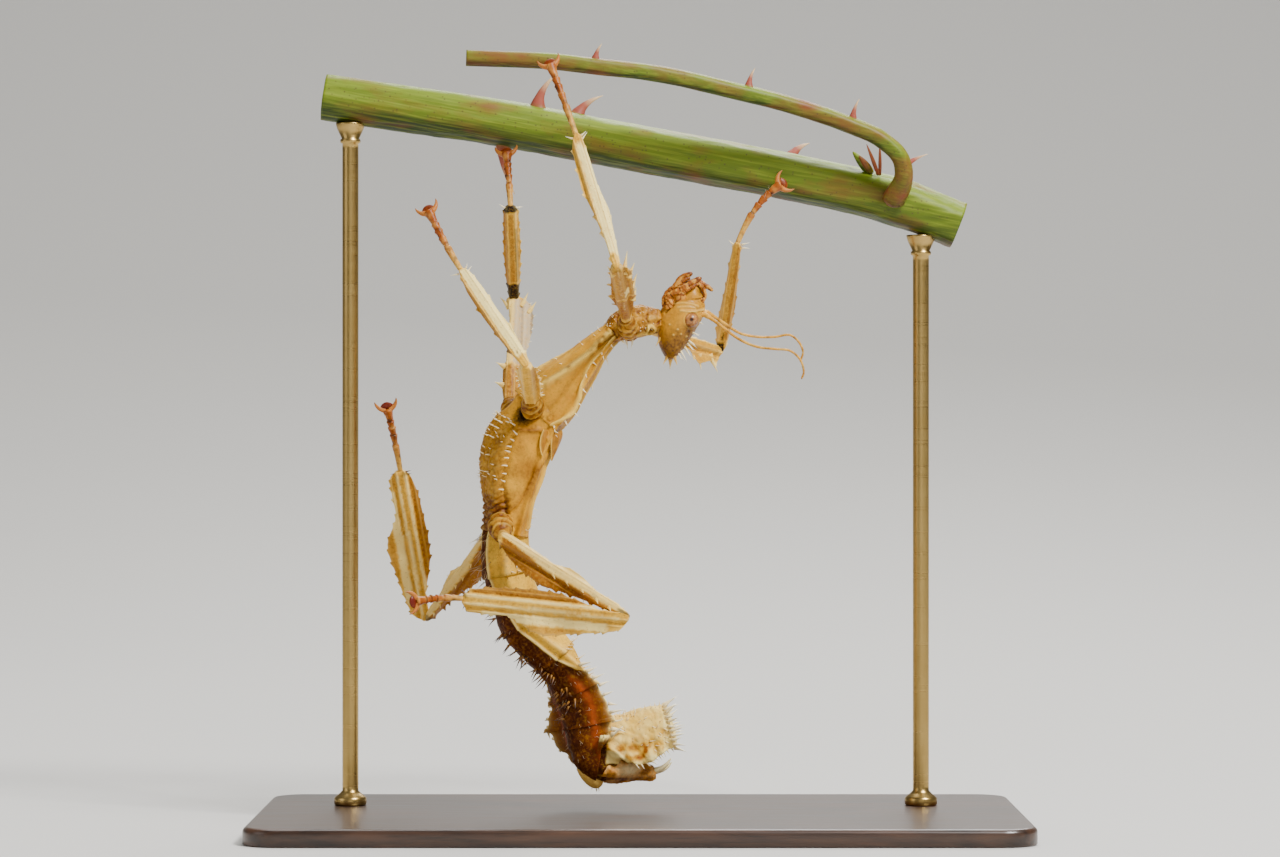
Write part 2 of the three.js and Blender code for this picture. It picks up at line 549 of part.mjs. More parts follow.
// Each leg: the root of its coxa, the hip, the knee, the ankle and the toe, the bend of its foot, the spines
// of its crest if it has them, its coxa's radius, then its two blades. A blade has the width of each flange
// at its start, its widest place and its end with the share of the length to that place, and how far its
// teeth stand out.
const LEGS = {
  front_left: {
    points: [
      [-1.9, -1.6, 84.4], [-2.4, -5.4, 86.6], [-3.9, -23.6, 94.5], [-10.6, -13.6, 116.8],
      [-15.0, -8.3, 129.0],
    ],
    bend: [-12.9, -11, 123.4],
    crest: [[[-2.7, -21.5, 93.2], [-2.1, -22, 97.2]], [[-2.1, -20.5, 92.4], [-0.9, -20.8, 95.3]]],
    coxa: 1.75,
    femur: { side: vec(1, 0, 0.1), first: [0.9, 2.9, 3.0, 0.75], second: [0.9, 1.4, 0.9, 0.6], depth: 0.6 },
    tibia: { first: [1.1, 1.4, 0.9, 0.6], second: [1.0, 1.5, 1.0, 0.6], depth: 0.3 },
  },
  front_right: {
    points: [[-1.7, 1.6, 84.4], [-1.0, 5.2, 85.9], [14.1, 17.9, 81.8], [16.7, 4.4, 99.7], [24.0, 5.0, 109.7]],
    bend: [19.3, 4.0, 106.6],
    crest: [[[12.0, 16.1, 80.9], [13.5, 16.6, 77.5]], [[10.2, 14.6, 81.0], [10.6, 14.7, 77.8]]],
    coxa: 1.75,
    femur: { side: vec(0.3, 0.1, -1), first: [0.9, 2.7, 2.4, 0.75], second: [0.9, 1.6, 1.1, 0.5], depth: 0.5 },
    tibia: { first: [0.9, 1.3, 0.8, 0.4], second: [0.8, 1.2, 0.8, 0.5], depth: 0.3 },
  },
  middle_left: {
    points: [
      [-17.9, -3.0, 70.8], [-18.4, -7.6, 72.9], [-18.7, -25.7, 78.2], [-29.6, -18.3, 94.2],
      [-35.2, -12.4, 104.2],
    ],
    bend: [-32.6, -15.2, 98.8],
    coxa: 2.0,
    femur: { side: vec(-1, 0, 0), first: [1.1, 2.0, 1.8, 0.6], second: [1.1, 1.5, 1.4, 0.5], depth: 0.5 },
    tibia: { first: [1.1, 1.5, 1.1, 0.5], second: [1.1, 1.5, 1.0, 0.5], depth: 0.3 },
  },
  middle_right: {
    points: [
      [-21.4, 2.6, 69.9], [-22.4, 6.6, 72.6], [-21.9, 15.3, 90.6], [-22.1, 2.6, 105.8],
      [-22.9, 7.2, 115.2],
    ],
    bend: [-22.4, 4.0, 110.8],
    coxa: 2.0,
    femur: { side: vec(1, 0, 0), first: [1.1, 3.3, 2.8, 0.75], second: [1.1, 1.3, 1.0, 0.6], depth: 0.45 },
    tibia: { first: [1.1, 1.4, 1.1, 0.5], second: [1.1, 1.5, 1.1, 0.5], depth: 0.3 },
  },
  hind_left: {
    points: [
      [-23.6, -2.6, 52.4], [-23.4, -7.4, 49.8], [-2.1, -20.5, 37.1], [-29.4, -12.0, 39.6],
      [-37.2, -16.6, 39.3],
    ],
    bend: [-33.4, -13.6, 40.0],
    coxa: 2.1,
    femur: { side: vec(0.6, 0, 0.8), first: [0.7, 0.9, 0.5, 0.55], second: [1.2, 3.2, 1.1, 0.4], depth: 0.35 },
    tibia: { first: [0.8, 2.4, 1.7, 0.7], second: [2.5, 4.7, 1.3, 0.38], depth: 0.3 },
  },
  hind_right: {
    points: [
      [-23.6, 2.6, 51.6], [-25.4, 7.6, 50.2], [-37.5, 27.0, 34.5], [-41.5, 13.5, 60.5],
      [-43.4, 7.4, 71.4],
    ],
    bend: [-42.3, 10.2, 66.4],
    coxa: 2.1,
    femur: { side: vec(-0.6, 0, 0.8), first: [0.7, 0.9, 0.5, 0.55], second: [1.2, 3.2, 1.1, 0.4], depth: 0.35 },
    tibia: { first: [0.8, 2.4, 1.7, 0.7], second: [2.5, 4.7, 1.3, 0.38], depth: 0.3 },
  },
};

for (const [name, leg] of Object.entries(LEGS)) {
  const [root, hip, knee, ankle, toe, bend] = [...leg.points, leg.bend].map(([x, y, z]) => vec(x, y, z));
  const along = hip.clone().sub(root).normalize();
  const coxa = (grow) => {
    const rings = COXA_RADII.map(([t, share]) => {
      const centre = root.clone().lerp(hip, t).addScaledVector(along, t * grow);
      return circle(centre, along, leg.coxa * share + grow, 6);
    });
    return loft(rings);
  };
  const profile = ([start, peak, end, place]) => (t) => hump(t, start, peak, end, place);
  const thigh = {
    start: hip, end: knee, side: leg.femur.side, depth: leg.femur.depth,
    first: profile(leg.femur.first), second: profile(leg.femur.second),
    core: profile([...FEMUR_CORE, CORE_PEAK]), inset: FEMUR_INSET,
  };
  const shin = {
    start: knee, end: ankle, side: broadside(knee, ankle), depth: leg.tibia.depth,
    first: profile(leg.tibia.first), second: profile(leg.tibia.second),
    core: profile([...TIBIA_CORE, CORE_PEAK]), inset: TIBIA_INSET,
  };
  piece(`coxa_${name}`, coxa(0).subtract(bodyGrown), TAN());
  const crest = (leg.crest ?? []).map(([from, tip]) => spine(vec(...from), vec(...tip), CREST_SPINE_RADIUS));
  piece(`femur_${name}`, joined([blade(thigh), ...crest]).subtract(coxa(GAP)).subtract(bodyGrown), STRAW());
  piece(`tibia_${name}`, blade(shin).subtract(blade(thigh, GAP)), STRAW());
  piece(`tarsus_${name}`, foot(ankle, bend, toe).subtract(perchGrown).subtract(blade(shin, GAP)), RUST());
}

// ---------------------------------------------------------------- stand

function roundedPlate({ length, depth, thickness, corner }) {
  const [x, y] = [length / 2 - corner, depth / 2 - corner];
  const outline = new THREE.Shape();
  outline.absarc(x, y, corner, 0, Math.PI / 2);
  outline.absarc(-x, y, corner, Math.PI / 2, Math.PI);
  outline.absarc(-x, -y, corner, Math.PI, 1.5 * Math.PI);
  outline.absarc(x, -y, corner, 1.5 * Math.PI, 2 * Math.PI);
  return solidOf(new THREE.ExtrudeGeometry(outline, { depth: thickness, bevelEnabled: false, curveSegments: 4 }));
}
piece('stand_base', roundedPlate(BASE), BASE_WOOD());

// An upright of given radii between two heights.
function upright(x, bottom, top, lowRadius, highRadius) {
  const shape = new THREE.CylinderGeometry(highRadius, lowRadius, top - bottom, 12);
  shape.rotateX(Math.PI / 2);
  shape.translate(x, ROD.y, (top + bottom) / 2);
  return solidOf(shape);
}
const caneHeight = (x) => {
  const steps = 200;
  let best = CANE_LINE.getPointAt(0);
  for (let i = 1; i <= steps; i += 1) {
    const p = CANE_LINE.getPointAt(i / steps);
    if (Math.abs(p.x - x) < Math.abs(best.x - x)) best = p;
  }
  return best.z;
};
for (const [word, x] of [['left', ROD_LEFT_X], ['right', ROD_RIGHT_X]]) {
  const foot = BASE.thickness + GAP;
  const top = caneHeight(x) - CANE_RADIUS + 1.2;
  const rod = joined([
    upright(x, foot, top - 1.5, ROD.radius, ROD.radius),
    upright(x, foot, foot + ROD.collarHeight, ROD.collarRadius, ROD.collarRadius * 0.8),
    upright(x, top - ROD.cupHeight, top, ROD.radius, ROD.cupRadius),
  ]);
  piece(`stand_rod_${word}`, rod.subtract(cane(GAP)), ROD_METAL());
}

export default model;
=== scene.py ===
import math
import random

import bpy
import numpy as np
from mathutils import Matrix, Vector, noise
from mathutils.kdtree import KDTree


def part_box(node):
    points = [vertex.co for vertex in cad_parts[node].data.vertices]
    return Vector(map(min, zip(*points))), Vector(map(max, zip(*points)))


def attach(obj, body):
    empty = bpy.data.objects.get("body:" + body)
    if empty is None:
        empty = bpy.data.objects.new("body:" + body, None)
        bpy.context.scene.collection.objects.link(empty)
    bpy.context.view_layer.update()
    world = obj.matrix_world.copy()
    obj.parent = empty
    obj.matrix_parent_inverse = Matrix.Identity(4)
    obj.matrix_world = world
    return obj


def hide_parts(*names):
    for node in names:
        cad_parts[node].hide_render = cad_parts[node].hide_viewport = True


# A nearly grown female giant prickly stick insect at life size, hanging by her feet from a cut length of
# bramble cane and its leaf stalk, on a small display stand. Shapes are worked out in millimetres and
# stored in metres. +X is towards her head, -Y is her left side, and the stand's underside is at Z = 0.

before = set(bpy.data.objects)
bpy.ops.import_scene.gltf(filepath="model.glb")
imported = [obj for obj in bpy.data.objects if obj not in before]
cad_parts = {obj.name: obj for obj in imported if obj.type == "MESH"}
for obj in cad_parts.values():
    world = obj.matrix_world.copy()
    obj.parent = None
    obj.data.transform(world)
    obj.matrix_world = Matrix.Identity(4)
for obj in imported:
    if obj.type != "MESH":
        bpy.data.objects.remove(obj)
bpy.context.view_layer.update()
MM = 0.001

# ---- Camera, floor and light
# A level camera looks along +Y at the insect's left side, far enough back to keep her legs in proportion.
# She stands on a plain pale sweep: a level floor that curves up into a far wall, which has its own lamp.
# The light is a big soft panel above the head end, with weak ones at the tail end, in front and behind.
CAMERA_DISTANCE = 0.700
CAMERA_HEIGHT = 0.068
VIEW_WIDTH = 0.2176  # of the frame, at the middle of the stand
SENSOR_WIDTH = 36.0


def placed(name, data):
    """A new object in the scene that shows the data."""
    made = bpy.data.objects.new(name, data)
    bpy.context.scene.collection.objects.link(made)
    return made


camera_data = bpy.data.cameras.new("camera")
camera_data.sensor_width = SENSOR_WIDTH
camera_data.lens = SENSOR_WIDTH * CAMERA_DISTANCE / VIEW_WIDTH
camera = placed("camera", camera_data)
camera.location = (0, -CAMERA_DISTANCE, CAMERA_HEIGHT)
camera.rotation_euler = (math.pi / 2, 0, 0)
bpy.context.scene.camera = camera


def linear(hex_colour):
    """An sRGB hex colour as a linear colour with full alpha."""
    parts = [int(hex_colour[i:i + 2], 16) / 255 for i in (1, 3, 5)]
    return [c / 12.92 if c <= 0.04045 else ((c + 0.055) / 1.055) ** 2.4 for c in parts] + [1.0]


def add(tree, kind, inputs=None, **settings):
    """A new node, with its settings, and its inputs set to values or linked to sockets."""
    made = tree.nodes.new(kind)
    for setting, value in settings.items():
        setattr(made, setting, value)
    for key, value in (inputs or {}).items():
        if isinstance(value, bpy.types.NodeSocket):
            tree.links.new(value, made.inputs[key])
        else:
            made.inputs[key].default_value = value
    return made


def coloured(ramp, *stops):
    """Gives a colour ramp its (place, hex colour) stops, from its low end to its high end."""
    elements = ramp.color_ramp.elements
    for element, (place, colour) in ((elements[0], stops[0]), (elements[1], stops[-1])):
        element.position = place
        element.color = linear(colour)
    for place, colour in stops[1:-1]:
        elements.new(place).color = linear(colour)
    return ramp.outputs[0]


def blank_material(name):
    """A material whose tree holds only its output."""
    material = bpy.data.materials.new(name)
    material.use_nodes = True
    material.node_tree.nodes.clear()
    add(material.node_tree, "ShaderNodeOutputMaterial")
    return material


def surface(material, **inputs):
    """Gives the material its one shader, with these inputs."""
    tree = material.node_tree
    shader = add(tree, "ShaderNodeBsdfPrincipled", {k.replace("_", " "): v for k, v in inputs.items()})
    tree.links.new(shader.outputs[0], tree.nodes["Material Output"].inputs[0])
    return material


SWEEP_FRONT = -2.5
SWEEP_DEPTH = 0.5  # from the stand to where the floor starts to bend
SWEEP_WIDTH = 6.0
SWEEP_BEND = 1.6  # radius of the bend
SWEEP_STEPS = 24
SWEEP_WALL = 3.0  # height of the wall

profile = [(SWEEP_FRONT, 0.0), (SWEEP_DEPTH, 0.0)]
for step in range(1, SWEEP_STEPS + 1):
    turned = math.pi / 2 * step / SWEEP_STEPS
    profile.append((SWEEP_DEPTH + SWEEP_BEND * math.sin(turned), SWEEP_BEND * (1 - math.cos(turned))))
profile.append((SWEEP_DEPTH + SWEEP_BEND, SWEEP_WALL))
sweep_mesh = bpy.data.meshes.new("studio_sweep")
sweep_mesh.from_pydata(
    [(side * SWEEP_WIDTH / 2, y, z) for y, z in profile for side in (-1, 1)],
    [],
    [(2 * i, 2 * i + 1, 2 * i + 3, 2 * i + 2) for i in range(len(profile) - 1)],
)
sweep_mesh.shade_smooth()
sweep_mesh.materials.append(
    surface(blank_material("matt paper"), Base_Color=linear("#cfcdc8"), Roughness=0.95)
)
placed("studio_sweep", sweep_mesh)

LAMPS = {  # place, size and power of each panel; all of them point at the middle of the insect
    "key": ((0.45, -0.5, 0.75), 0.25, 17.0),
    "tail_side": ((-0.75, -0.35, 0.35), 0.5, 1.1),
    "front": ((0.05, -0.95, 0.12), 0.6, 0.7),
    "behind": ((0.15, 0.65, 0.6), 0.4, 4.0),
    "wall": ((0.0, 0.75, 1.5), 1.2, 18.0),
}
for name, (place, size, power) in LAMPS.items():
    lamp_data = bpy.data.lights.new(name, "AREA")
    lamp_data.shape = "SQUARE"
    lamp_data.size = size
    lamp_data.energy = power
    lamp = placed(name, lamp_data)
    lamp.location = place
    aim = Vector((0, 0, CAMERA_HEIGHT)) - Vector(place)
    lamp.rotation_euler = aim.to_track_quat("-Z", "Y").to_euler()
world = bpy.data.worlds.new("studio")
bpy.context.scene.world = world
world.use_nodes = True
room_light = world.node_tree.nodes["Background"]
room_light.inputs["Color"].default_value = linear("#f1efea")
room_light.inputs["Strength"].default_value = 0.2


def settle(piece, slot, *nodes):
    """The piece rides on the one body and stands for these solids, which are hidden; slot is not used."""
    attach(piece, "root")
    if nodes:
        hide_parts(*nodes)


def object_from(name, vertices, faces, material, masks=None):
    """A smooth-shaded piece from vertices in millimetres, with its masks as attributes on its vertices."""
    mesh = bpy.data.meshes.new(name)
    mesh.from_pydata((np.asarray(vertices) * MM).tolist(), [], faces)
    mesh.shade_smooth()
    for mask, values in (masks or {}).items():
        mesh.attributes.new(mask, "FLOAT", "POINT").data.foreach_set("value", values.astype(np.float32))
    mesh.materials.append(material)
    return placed(name, mesh)


def tube_faces(rings):
    """The quads over rings of points and the fans over both ends, turned outwards."""
    count, sides = rings.shape[:2]
    i, j = np.meshgrid(np.arange(count - 1), np.arange(sides), indexing="ij")
    k = (j + 1) % sides
    quads = np.stack([i * sides + j, i * sides + k, (i + 1) * sides + k, (i + 1) * sides + j], -1)
    here = np.arange(sides)
    ahead = (here + 1) % sides
    low, high = count * sides, count * sides + 1
    end = (count - 1) * sides
    fans = np.vstack([
        np.stack([np.full(sides, low), ahead, here], -1),
        np.stack([np.full(sides, high), end + here, end + ahead], -1),
    ])
    a, b, c, d = rings[:-1], np.roll(rings[:-1], -1, 1), np.roll(rings[1:], -1, 1), rings[1:]
    middle = rings.mean((0, 1))
    volume = (np.cross(b - a, c - a) * (a - middle)).sum() + (np.cross(c - a, d - a) * (a - middle)).sum()
    faces = quads.reshape(-1, 4).tolist() + fans.tolist()
    return faces if volume > 0 else [face[::-1] for face in faces]


def piece_from(name, tubes, material):
    """One piece from closed tubes. Each tube is its rings, shape (rings, sides, 3), and its masks."""
    vertices, faces, masks = [], [], {}
    names = sorted({mask for _, tube_masks in tubes for mask in tube_masks})
    for rings, tube_masks in tubes:
        start = sum(len(v) for v in vertices)
        vertices.append(np.vstack([rings.reshape(-1, 3), rings[0].mean(0), rings[-1].mean(0)]))
        faces += [[corner + start for corner in face] for face in tube_faces(rings)]
        for mask in names:
            values = np.broadcast_to(tube_masks.get(mask, 0.0), rings.shape[:2])
            masks.setdefault(mask, []).append(np.r_[values.ravel(), values[0].mean(), values[-1].mean()])
    masks = {mask: np.concatenate(values) for mask, values in masks.items()}
    return object_from(name, np.vstack(vertices), faces, material, masks)

# ---- Stand base
# A flat rounded plate of dark stained hardwood, sawn, rounded over along its top edge and lacquered.
# The grain runs along its length; the lacquer gives it a soft satin shine.
base_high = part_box("stand_base")[1]
BASE_CORNER = 6.0
BASE_ROUND = 0.9  # radius of the rounded-over top edge
BASE_CHAMFER = 0.25  # of the bottom edge
CORNER_STEPS = 8
ROUND_STEPS = 6

half_length, half_depth = base_high.x / MM, base_high.y / MM
base_top = base_high.z / MM


def rounded_outline(inset, height):
    """The plate's outline, held back by inset, at a height."""
    corner = BASE_CORNER - inset
    points = []
    for quarter in range(4):
        x = (half_length - BASE_CORNER) * (1 if quarter in (0, 3) else -1)
        y = (half_depth - BASE_CORNER) * (1 if quarter in (0, 1) else -1)
        for step in range(CORNER_STEPS + 1):
            angle = (quarter + step / CORNER_STEPS) * math.pi / 2
            points.append((x + corner * math.cos(angle), y + corner * math.sin(angle), height))
    return points


base_rings = [rounded_outline(BASE_CHAMFER, 0), rounded_outline(0, BASE_CHAMFER)]
for step in range(ROUND_STEPS + 1):
    turned = math.pi / 2 * step / ROUND_STEPS
    height = base_top - BASE_ROUND * (1 - math.sin(turned))
    base_rings.append(rounded_outline(BASE_ROUND * (1 - math.cos(turned)), height))

stained_wood = blank_material("dark stained hardwood")
tree = stained_wood.node_tree
at = add(tree, "ShaderNodeTexCoord").outputs["Object"]
# Rings of grain about 3 mm apart, drawn out ten times along the plate; pores about 0.4 mm wide.
along_grain = add(tree, "ShaderNodeMapping", {"Vector": at, "Scale": (40, 330, 330)}).outputs[0]
year_rings = add(tree, "ShaderNodeTexNoise", {
    "Vector": along_grain, "Scale": 1.0, "Detail": 6.0, "Distortion": 1.2,
})
pore_grain = add(tree, "ShaderNodeMapping", {"Vector": at, "Scale": (120, 2500, 2500)}).outputs[0]
pores = add(tree, "ShaderNodeTexNoise", {"Vector": pore_grain, "Scale": 1.0, "Detail": 3.0})
wood_ramp = add(tree, "ShaderNodeValToRGB", {"Fac": year_rings.outputs["Fac"]})
browns = coloured(wood_ramp, (0.32, "#23150d"), (0.72, "#4f3321"))
pore_dark = add(tree, "ShaderNodeMapRange", {
    "Value": pores.outputs["Fac"], "From Min": 0.3, "From Max": 0.45, "To Min": 0.55, "To Max": 1.0,
})
wood_colour = add(tree, "ShaderNodeMix", {
    "Factor": 1.0, 6: browns, 7: pore_dark.outputs[0],
}, data_type="RGBA", blend_type="MULTIPLY")
wood_rough = add(tree, "ShaderNodeMapRange", {
    "Value": year_rings.outputs["Fac"], "To Min": 0.28, "To Max": 0.42,
})
wood_bump = add(tree, "ShaderNodeBump", {
    "Height": pores.outputs["Fac"], "Strength": 0.25, "Distance": 0.0001,
})
surface(
    stained_wood, Base_Color=wood_colour.outputs[2], Roughness=wood_rough.outputs[0],
    Coat_Weight=0.25, Coat_Roughness=0.2, Normal=wood_bump.outputs[0],
)
base = piece_from("base_plate", [(np.array(base_rings), {})], stained_wood)
base.data.shade_flat()
for polygon in base.data.polygons:
    polygon.use_smooth = abs(polygon.normal.z) < 0.999
settle(base, "stand_wood", "stand_base")

# ---- Stand rods
# Two turned brass rods, lightly brushed while they spun, so that fine rings run round them. Each has a
# collar where it is screwed into the plate and a cup at its top that the cane lies in.
ROD_RADIUS = 1.4
COLLAR_RADIUS = 2.8
COLLAR_HEIGHT = 2.2
CUP_HEIGHT = 3.4
CUP_RADIUS = 2.6
ROD_SIDES = 40
SUNK = 0.28  # how far the collar goes down past the end of the rod's solid, on to the plate


def turns(sides):
    """The angle of each side of a ring."""
    return np.arange(sides) * math.tau / sides


brass = blank_material("brushed brass")
tree = brass.node_tree
at = add(tree, "ShaderNodeTexCoord").outputs["Object"]
# Turning marks 0.1 mm apart, too fine to show, are drawn 0.3 mm apart.
turned_marks = add(tree, "ShaderNodeMapping", {"Vector": at, "Scale": (60, 60, 3300)}).outputs[0]
marks = add(tree, "ShaderNodeTexNoise", {"Vector": turned_marks, "Scale": 1.0, "Detail": 2.0})
tarnish = add(tree, "ShaderNodeTexNoise", {"Vector": at, "Scale": 180.0, "Detail": 4.0})
brass_colour = add(tree, "ShaderNodeMix", {
    "Factor": tarnish.outputs["Fac"], 6: linear("#c3a566"), 7: linear("#a98a4c"),
}, data_type="RGBA")
brass_rough = add(tree, "ShaderNodeMapRange", {
    "Value": marks.outputs["Fac"], "To Min": 0.2, "To Max": 0.42,
})
brass_bump = add(tree, "ShaderNodeBump", {
    "Height": marks.outputs["Fac"], "Strength": 0.3, "Distance": 0.00003,
})
surface(
    brass, Base_Color=brass_colour.outputs[2], Metallic=1.0, Roughness=brass_rough.outputs[0],
    Normal=brass_bump.outputs[0],
)
for side in ("left", "right"):
    low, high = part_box(f"stand_rod_{side}")
    x, y = (low.x + high.x) / 2 / MM, (low.y + high.y) / 2 / MM
    foot, top = low.z / MM - SUNK, high.z / MM
    neck = top - CUP_HEIGHT
    lathe = [  # radius and height
        (COLLAR_RADIUS - 0.2, foot), (COLLAR_RADIUS, foot + 0.2), (COLLAR_RADIUS, foot + 1.2),
        (COLLAR_RADIUS - 0.25, foot + 1.5), (ROD_RADIUS + 0.5, foot + COLLAR_HEIGHT - 0.2),
        (ROD_RADIUS, foot + COLLAR_HEIGHT + 0.3), (ROD_RADIUS, foot + COLLAR_HEIGHT + 1),
        (ROD_RADIUS, neck - 1), (ROD_RADIUS, neck - 0.2), (ROD_RADIUS + 0.35, neck),
        (ROD_RADIUS + 0.35, neck + 0.5), (ROD_RADIUS + 0.1, neck + 0.7), (CUP_RADIUS - 0.3, top - 1.0),
        (CUP_RADIUS - 0.1, top - 0.3), (CUP_RADIUS - 0.1, top), (CUP_RADIUS - 0.6, top),
    ]
    rings = np.array([
        [(x + r * math.cos(a), y + r * math.sin(a), z) for a in turns(ROD_SIDES)]
        for r, z in lathe
    ])
    settle(piece_from(f"brass_rod_{side}", [(rings, {})], brass), "stand_brass", f"stand_rod_{side}")

# ---- Bramble cane
# A cut length of living bramble cane, lying in the cups of the rods. Its bark is smooth and green, faintly
# ribbed, streaked along its length, speckled, and blotched red where the sun reached it; painted shade makes
# its green darker where it faces down. The ends are sawn, and show white wood round a pale pith. Prickles
# grow from the bark and hook back towards its foot.
CANE_POINTS = [
    (-54.5, 11, 125.3), (-24.2, 11, 120.9), (-3.5, 11, 117.0), (19, 11, 112.8), (36.3, 11, 109.2),
    (44.9, 11, 106.9), (55, 11, 103.0),
]
CANE_SLOPE = math.radians(11)
CANE_RADIUS = 4.4
CANE_SIDES = 72
CANE_STEP = 0.45
CANE_RIBS = 5
RIB_HEIGHT = 0.16
NODE_PLACE, NODE_WIDTH, NODE_SWELL = 0.9, 0.03, 0.05  # where the leaf stalk grows out


def smooth_path(points, places, even=False):
    """The smooth line through the points, at places counted in points from 0, which may be fractions."""
    p = np.array(points, float)
    p = np.vstack([2 * p[0] - p[1], p, 2 * p[-1] - p[-2]])
    places = np.asarray(places, float)
    i = np.clip(np.floor(places).astype(int), 0, len(p) - 4)
    w = (places - i)[..., None]
    a, b, c, d = p[i], p[i + 1], p[i + 2], p[i + 3]
    if even:
        da = db = dc = 1.0
    else:
        legs = ((b, a), (c, b), (d, c))
        da, db, dc = (np.linalg.norm(q - r, axis=-1, keepdims=True) ** 0.5 for q, r in legs)
    start = ((b - a) / da - (c - a) / (da + db) + (c - b) / db) * db
    end = ((c - b) / db - (d - b) / (db + dc) + (d - c) / dc) * db
    return b + start * w + (3 * (c - b) - 2 * start - end) * w ** 2 + (2 * (b - c) + start + end) * w ** 3


def clamp(values):
    """The values held between 0 and 1."""
    return np.clip(values, 0, 1)


def bell(values, width):
    """From 1 where a value is 0 down to 0 on both sides of it; the fall is about width."""
    return np.exp(-((values / width) ** 2))


def unit_rows(vectors):
    """The vectors, each at unit length."""
    return vectors / np.linalg.norm(vectors, axis=-1, keepdims=True)


def evenly(points, step):
    """The smooth line through the points, every step millimetres, with its directions and its shares."""
    fine = smooth_path(points, np.linspace(0, len(points) - 1, 60 * len(points)))
    run = np.r_[0, np.cumsum(np.linalg.norm(np.diff(fine, axis=0), axis=1))]
    want = np.linspace(0, run[-1], max(4, int(run[-1] / step) + 1))
    line = np.stack([np.interp(want, run, fine[:, axis]) for axis in range(3)], -1)
    return line, unit_rows(np.gradient(line, axis=0)), want / run[-1]


def rings_round(line, ways, radii, sides, level=(0, -1, 0)):
    """Rings round a line. radii is one per ring, or one per ring and side."""
    across = unit_rows(np.cross(ways, level))
    other = np.cross(across, ways)
    angle = turns(sides)[:, None]
    spokes = across[:, None] * np.cos(angle) + other[:, None] * np.sin(angle)
    radii = np.asarray(radii, float)
    return line[:, None] + spokes * (radii[:, None] if radii.ndim == 1 else radii)[..., None]


def grain(points, size, seed=0):
    """Smooth random heights from about -1 to 1 over points, in bumps about size millimetres across."""
    flat = (np.asarray(points).reshape(-1, 3) / size + 17.3 * seed).tolist()
    return np.array([noise.noise(p) for p in flat]).reshape(np.shape(points)[:-1])


def oval(sides, wide, narrow):
    """The radius of an oval at each side of a ring."""
    angle = turns(sides)
    return 1 / np.sqrt((np.cos(angle) / wide) ** 2 + (np.sin(angle) / narrow) ** 2)


bark = blank_material("bramble bark")
tree = bark.node_tree
at = add(tree, "ShaderNodeTexCoord").outputs["Object"]
lengthwise = add(tree, "ShaderNodeMapping", {"Vector": at, "Rotation": (0, -CANE_SLOPE, 0)}).outputs[0]
# Streaks 0.35 mm wide and some 8 mm long; blotches of 3 to 6 mm; specks of 0.3 mm.
streak_space = add(tree, "ShaderNodeMapping", {"Vector": lengthwise, "Scale": (90, 2600, 2600)}).outputs[0]
streaks = add(tree, "ShaderNodeTexNoise", {"Vector": streak_space, "Scale": 1.0, "Detail": 4.0})
blotch_space = add(tree, "ShaderNodeMapping", {"Vector": lengthwise, "Scale": (110, 260, 260)}).outputs[0]
blotches = add(tree, "ShaderNodeTexNoise", {"Vector": blotch_space, "Scale": 1.0, "Detail": 5.0})
specks = add(tree, "ShaderNodeTexVoronoi", {"Vector": at, "Scale": 1100.0})
# Painted shade: the green runs from dark where the bark faces down to light where it faces up.
height_axis = add(tree, "ShaderNodeSeparateXYZ", {0: add(tree, "ShaderNodeNewGeometry").outputs["Normal"]})
underside_painted_shade = add(tree, "ShaderNodeMapRange", {
    "Value": height_axis.outputs["Z"], "From Min": -0.9, "From Max": 0.6,
})
green_ramp = add(tree, "ShaderNodeValToRGB", {"Fac": underside_painted_shade.outputs[0]})
bark_colour = coloured(green_ramp, (0.0, "#1c2e08"), (1.0, "#6f8216"))
blush, prickle, sawn = (
    add(tree, "ShaderNodeAttribute", attribute_name=mask).outputs["Fac"]
    for mask in ("blush", "prickle", "sawn")
)
reddened = add(tree, "ShaderNodeMath", {0: blotches.outputs["Fac"], 1: blush})
prickle_ramp = add(tree, "ShaderNodeValToRGB", {"Fac": prickle})
prickle_colour = coloured(prickle_ramp, (0.0, "#8c3b30"), (0.6, "#9c5240"), (1.0, "#d9b98c"))
sawn_ramp = add(tree, "ShaderNodeValToRGB", {"Fac": sawn})
sawn_colour = coloured(
    sawn_ramp, (0.0, "#7e8a3e"), (0.25, "#c9c78a"), (0.32, "#e3dcb4"), (0.6, "#d8cc9c"), (0.66, "#f1ead4"),
    (1.0, "#efe8cf"),
)
for value, low, high, least, most, tint in (  # each colour laid over the last, and where it shows
    (streaks.outputs["Fac"], 0.45, 0.75, 0.0, 0.4, linear("#9aa62e")),
    (reddened.outputs[0], 0.62, 0.95, 0.0, 0.85, linear("#7d3020")),
    (specks.outputs["Distance"], 0.1, 0.22, 0.65, 0.0, linear("#4a3a20")),
    (prickle, 0.0, 0.3, 0.0, 1.0, prickle_colour),
    (sawn, 0.0, 0.1, 0.0, 1.0, sawn_colour),
):
    shows = add(tree, "ShaderNodeMapRange", {
        "Value": value, "From Min": low, "From Max": high, "To Min": least, "To Max": most,
    })
    bark_colour = add(tree, "ShaderNodeMix", {
        "Factor": shows.outputs[0], 6: bark_colour, 7: tint,
    }, data_type="RGBA").outputs[2]
bark_bump = add(tree, "ShaderNodeBump", {
    "Height": streaks.outputs["Fac"], "Strength": 0.35, "Distance": 0.00012,
})
bark_rough = add(tree, "ShaderNodeMapRange", {
    "Value": streaks.outputs["Fac"], "To Min": 0.38, "To Max": 0.6,
})
surface(
    bark, Base_Color=bark_colour, Roughness=bark_rough.outputs[0], Normal=bark_bump.outputs[0],
    Specular_IOR_Level=0.24, Coat_Weight=0.02, Coat_Roughness=0.35,
)


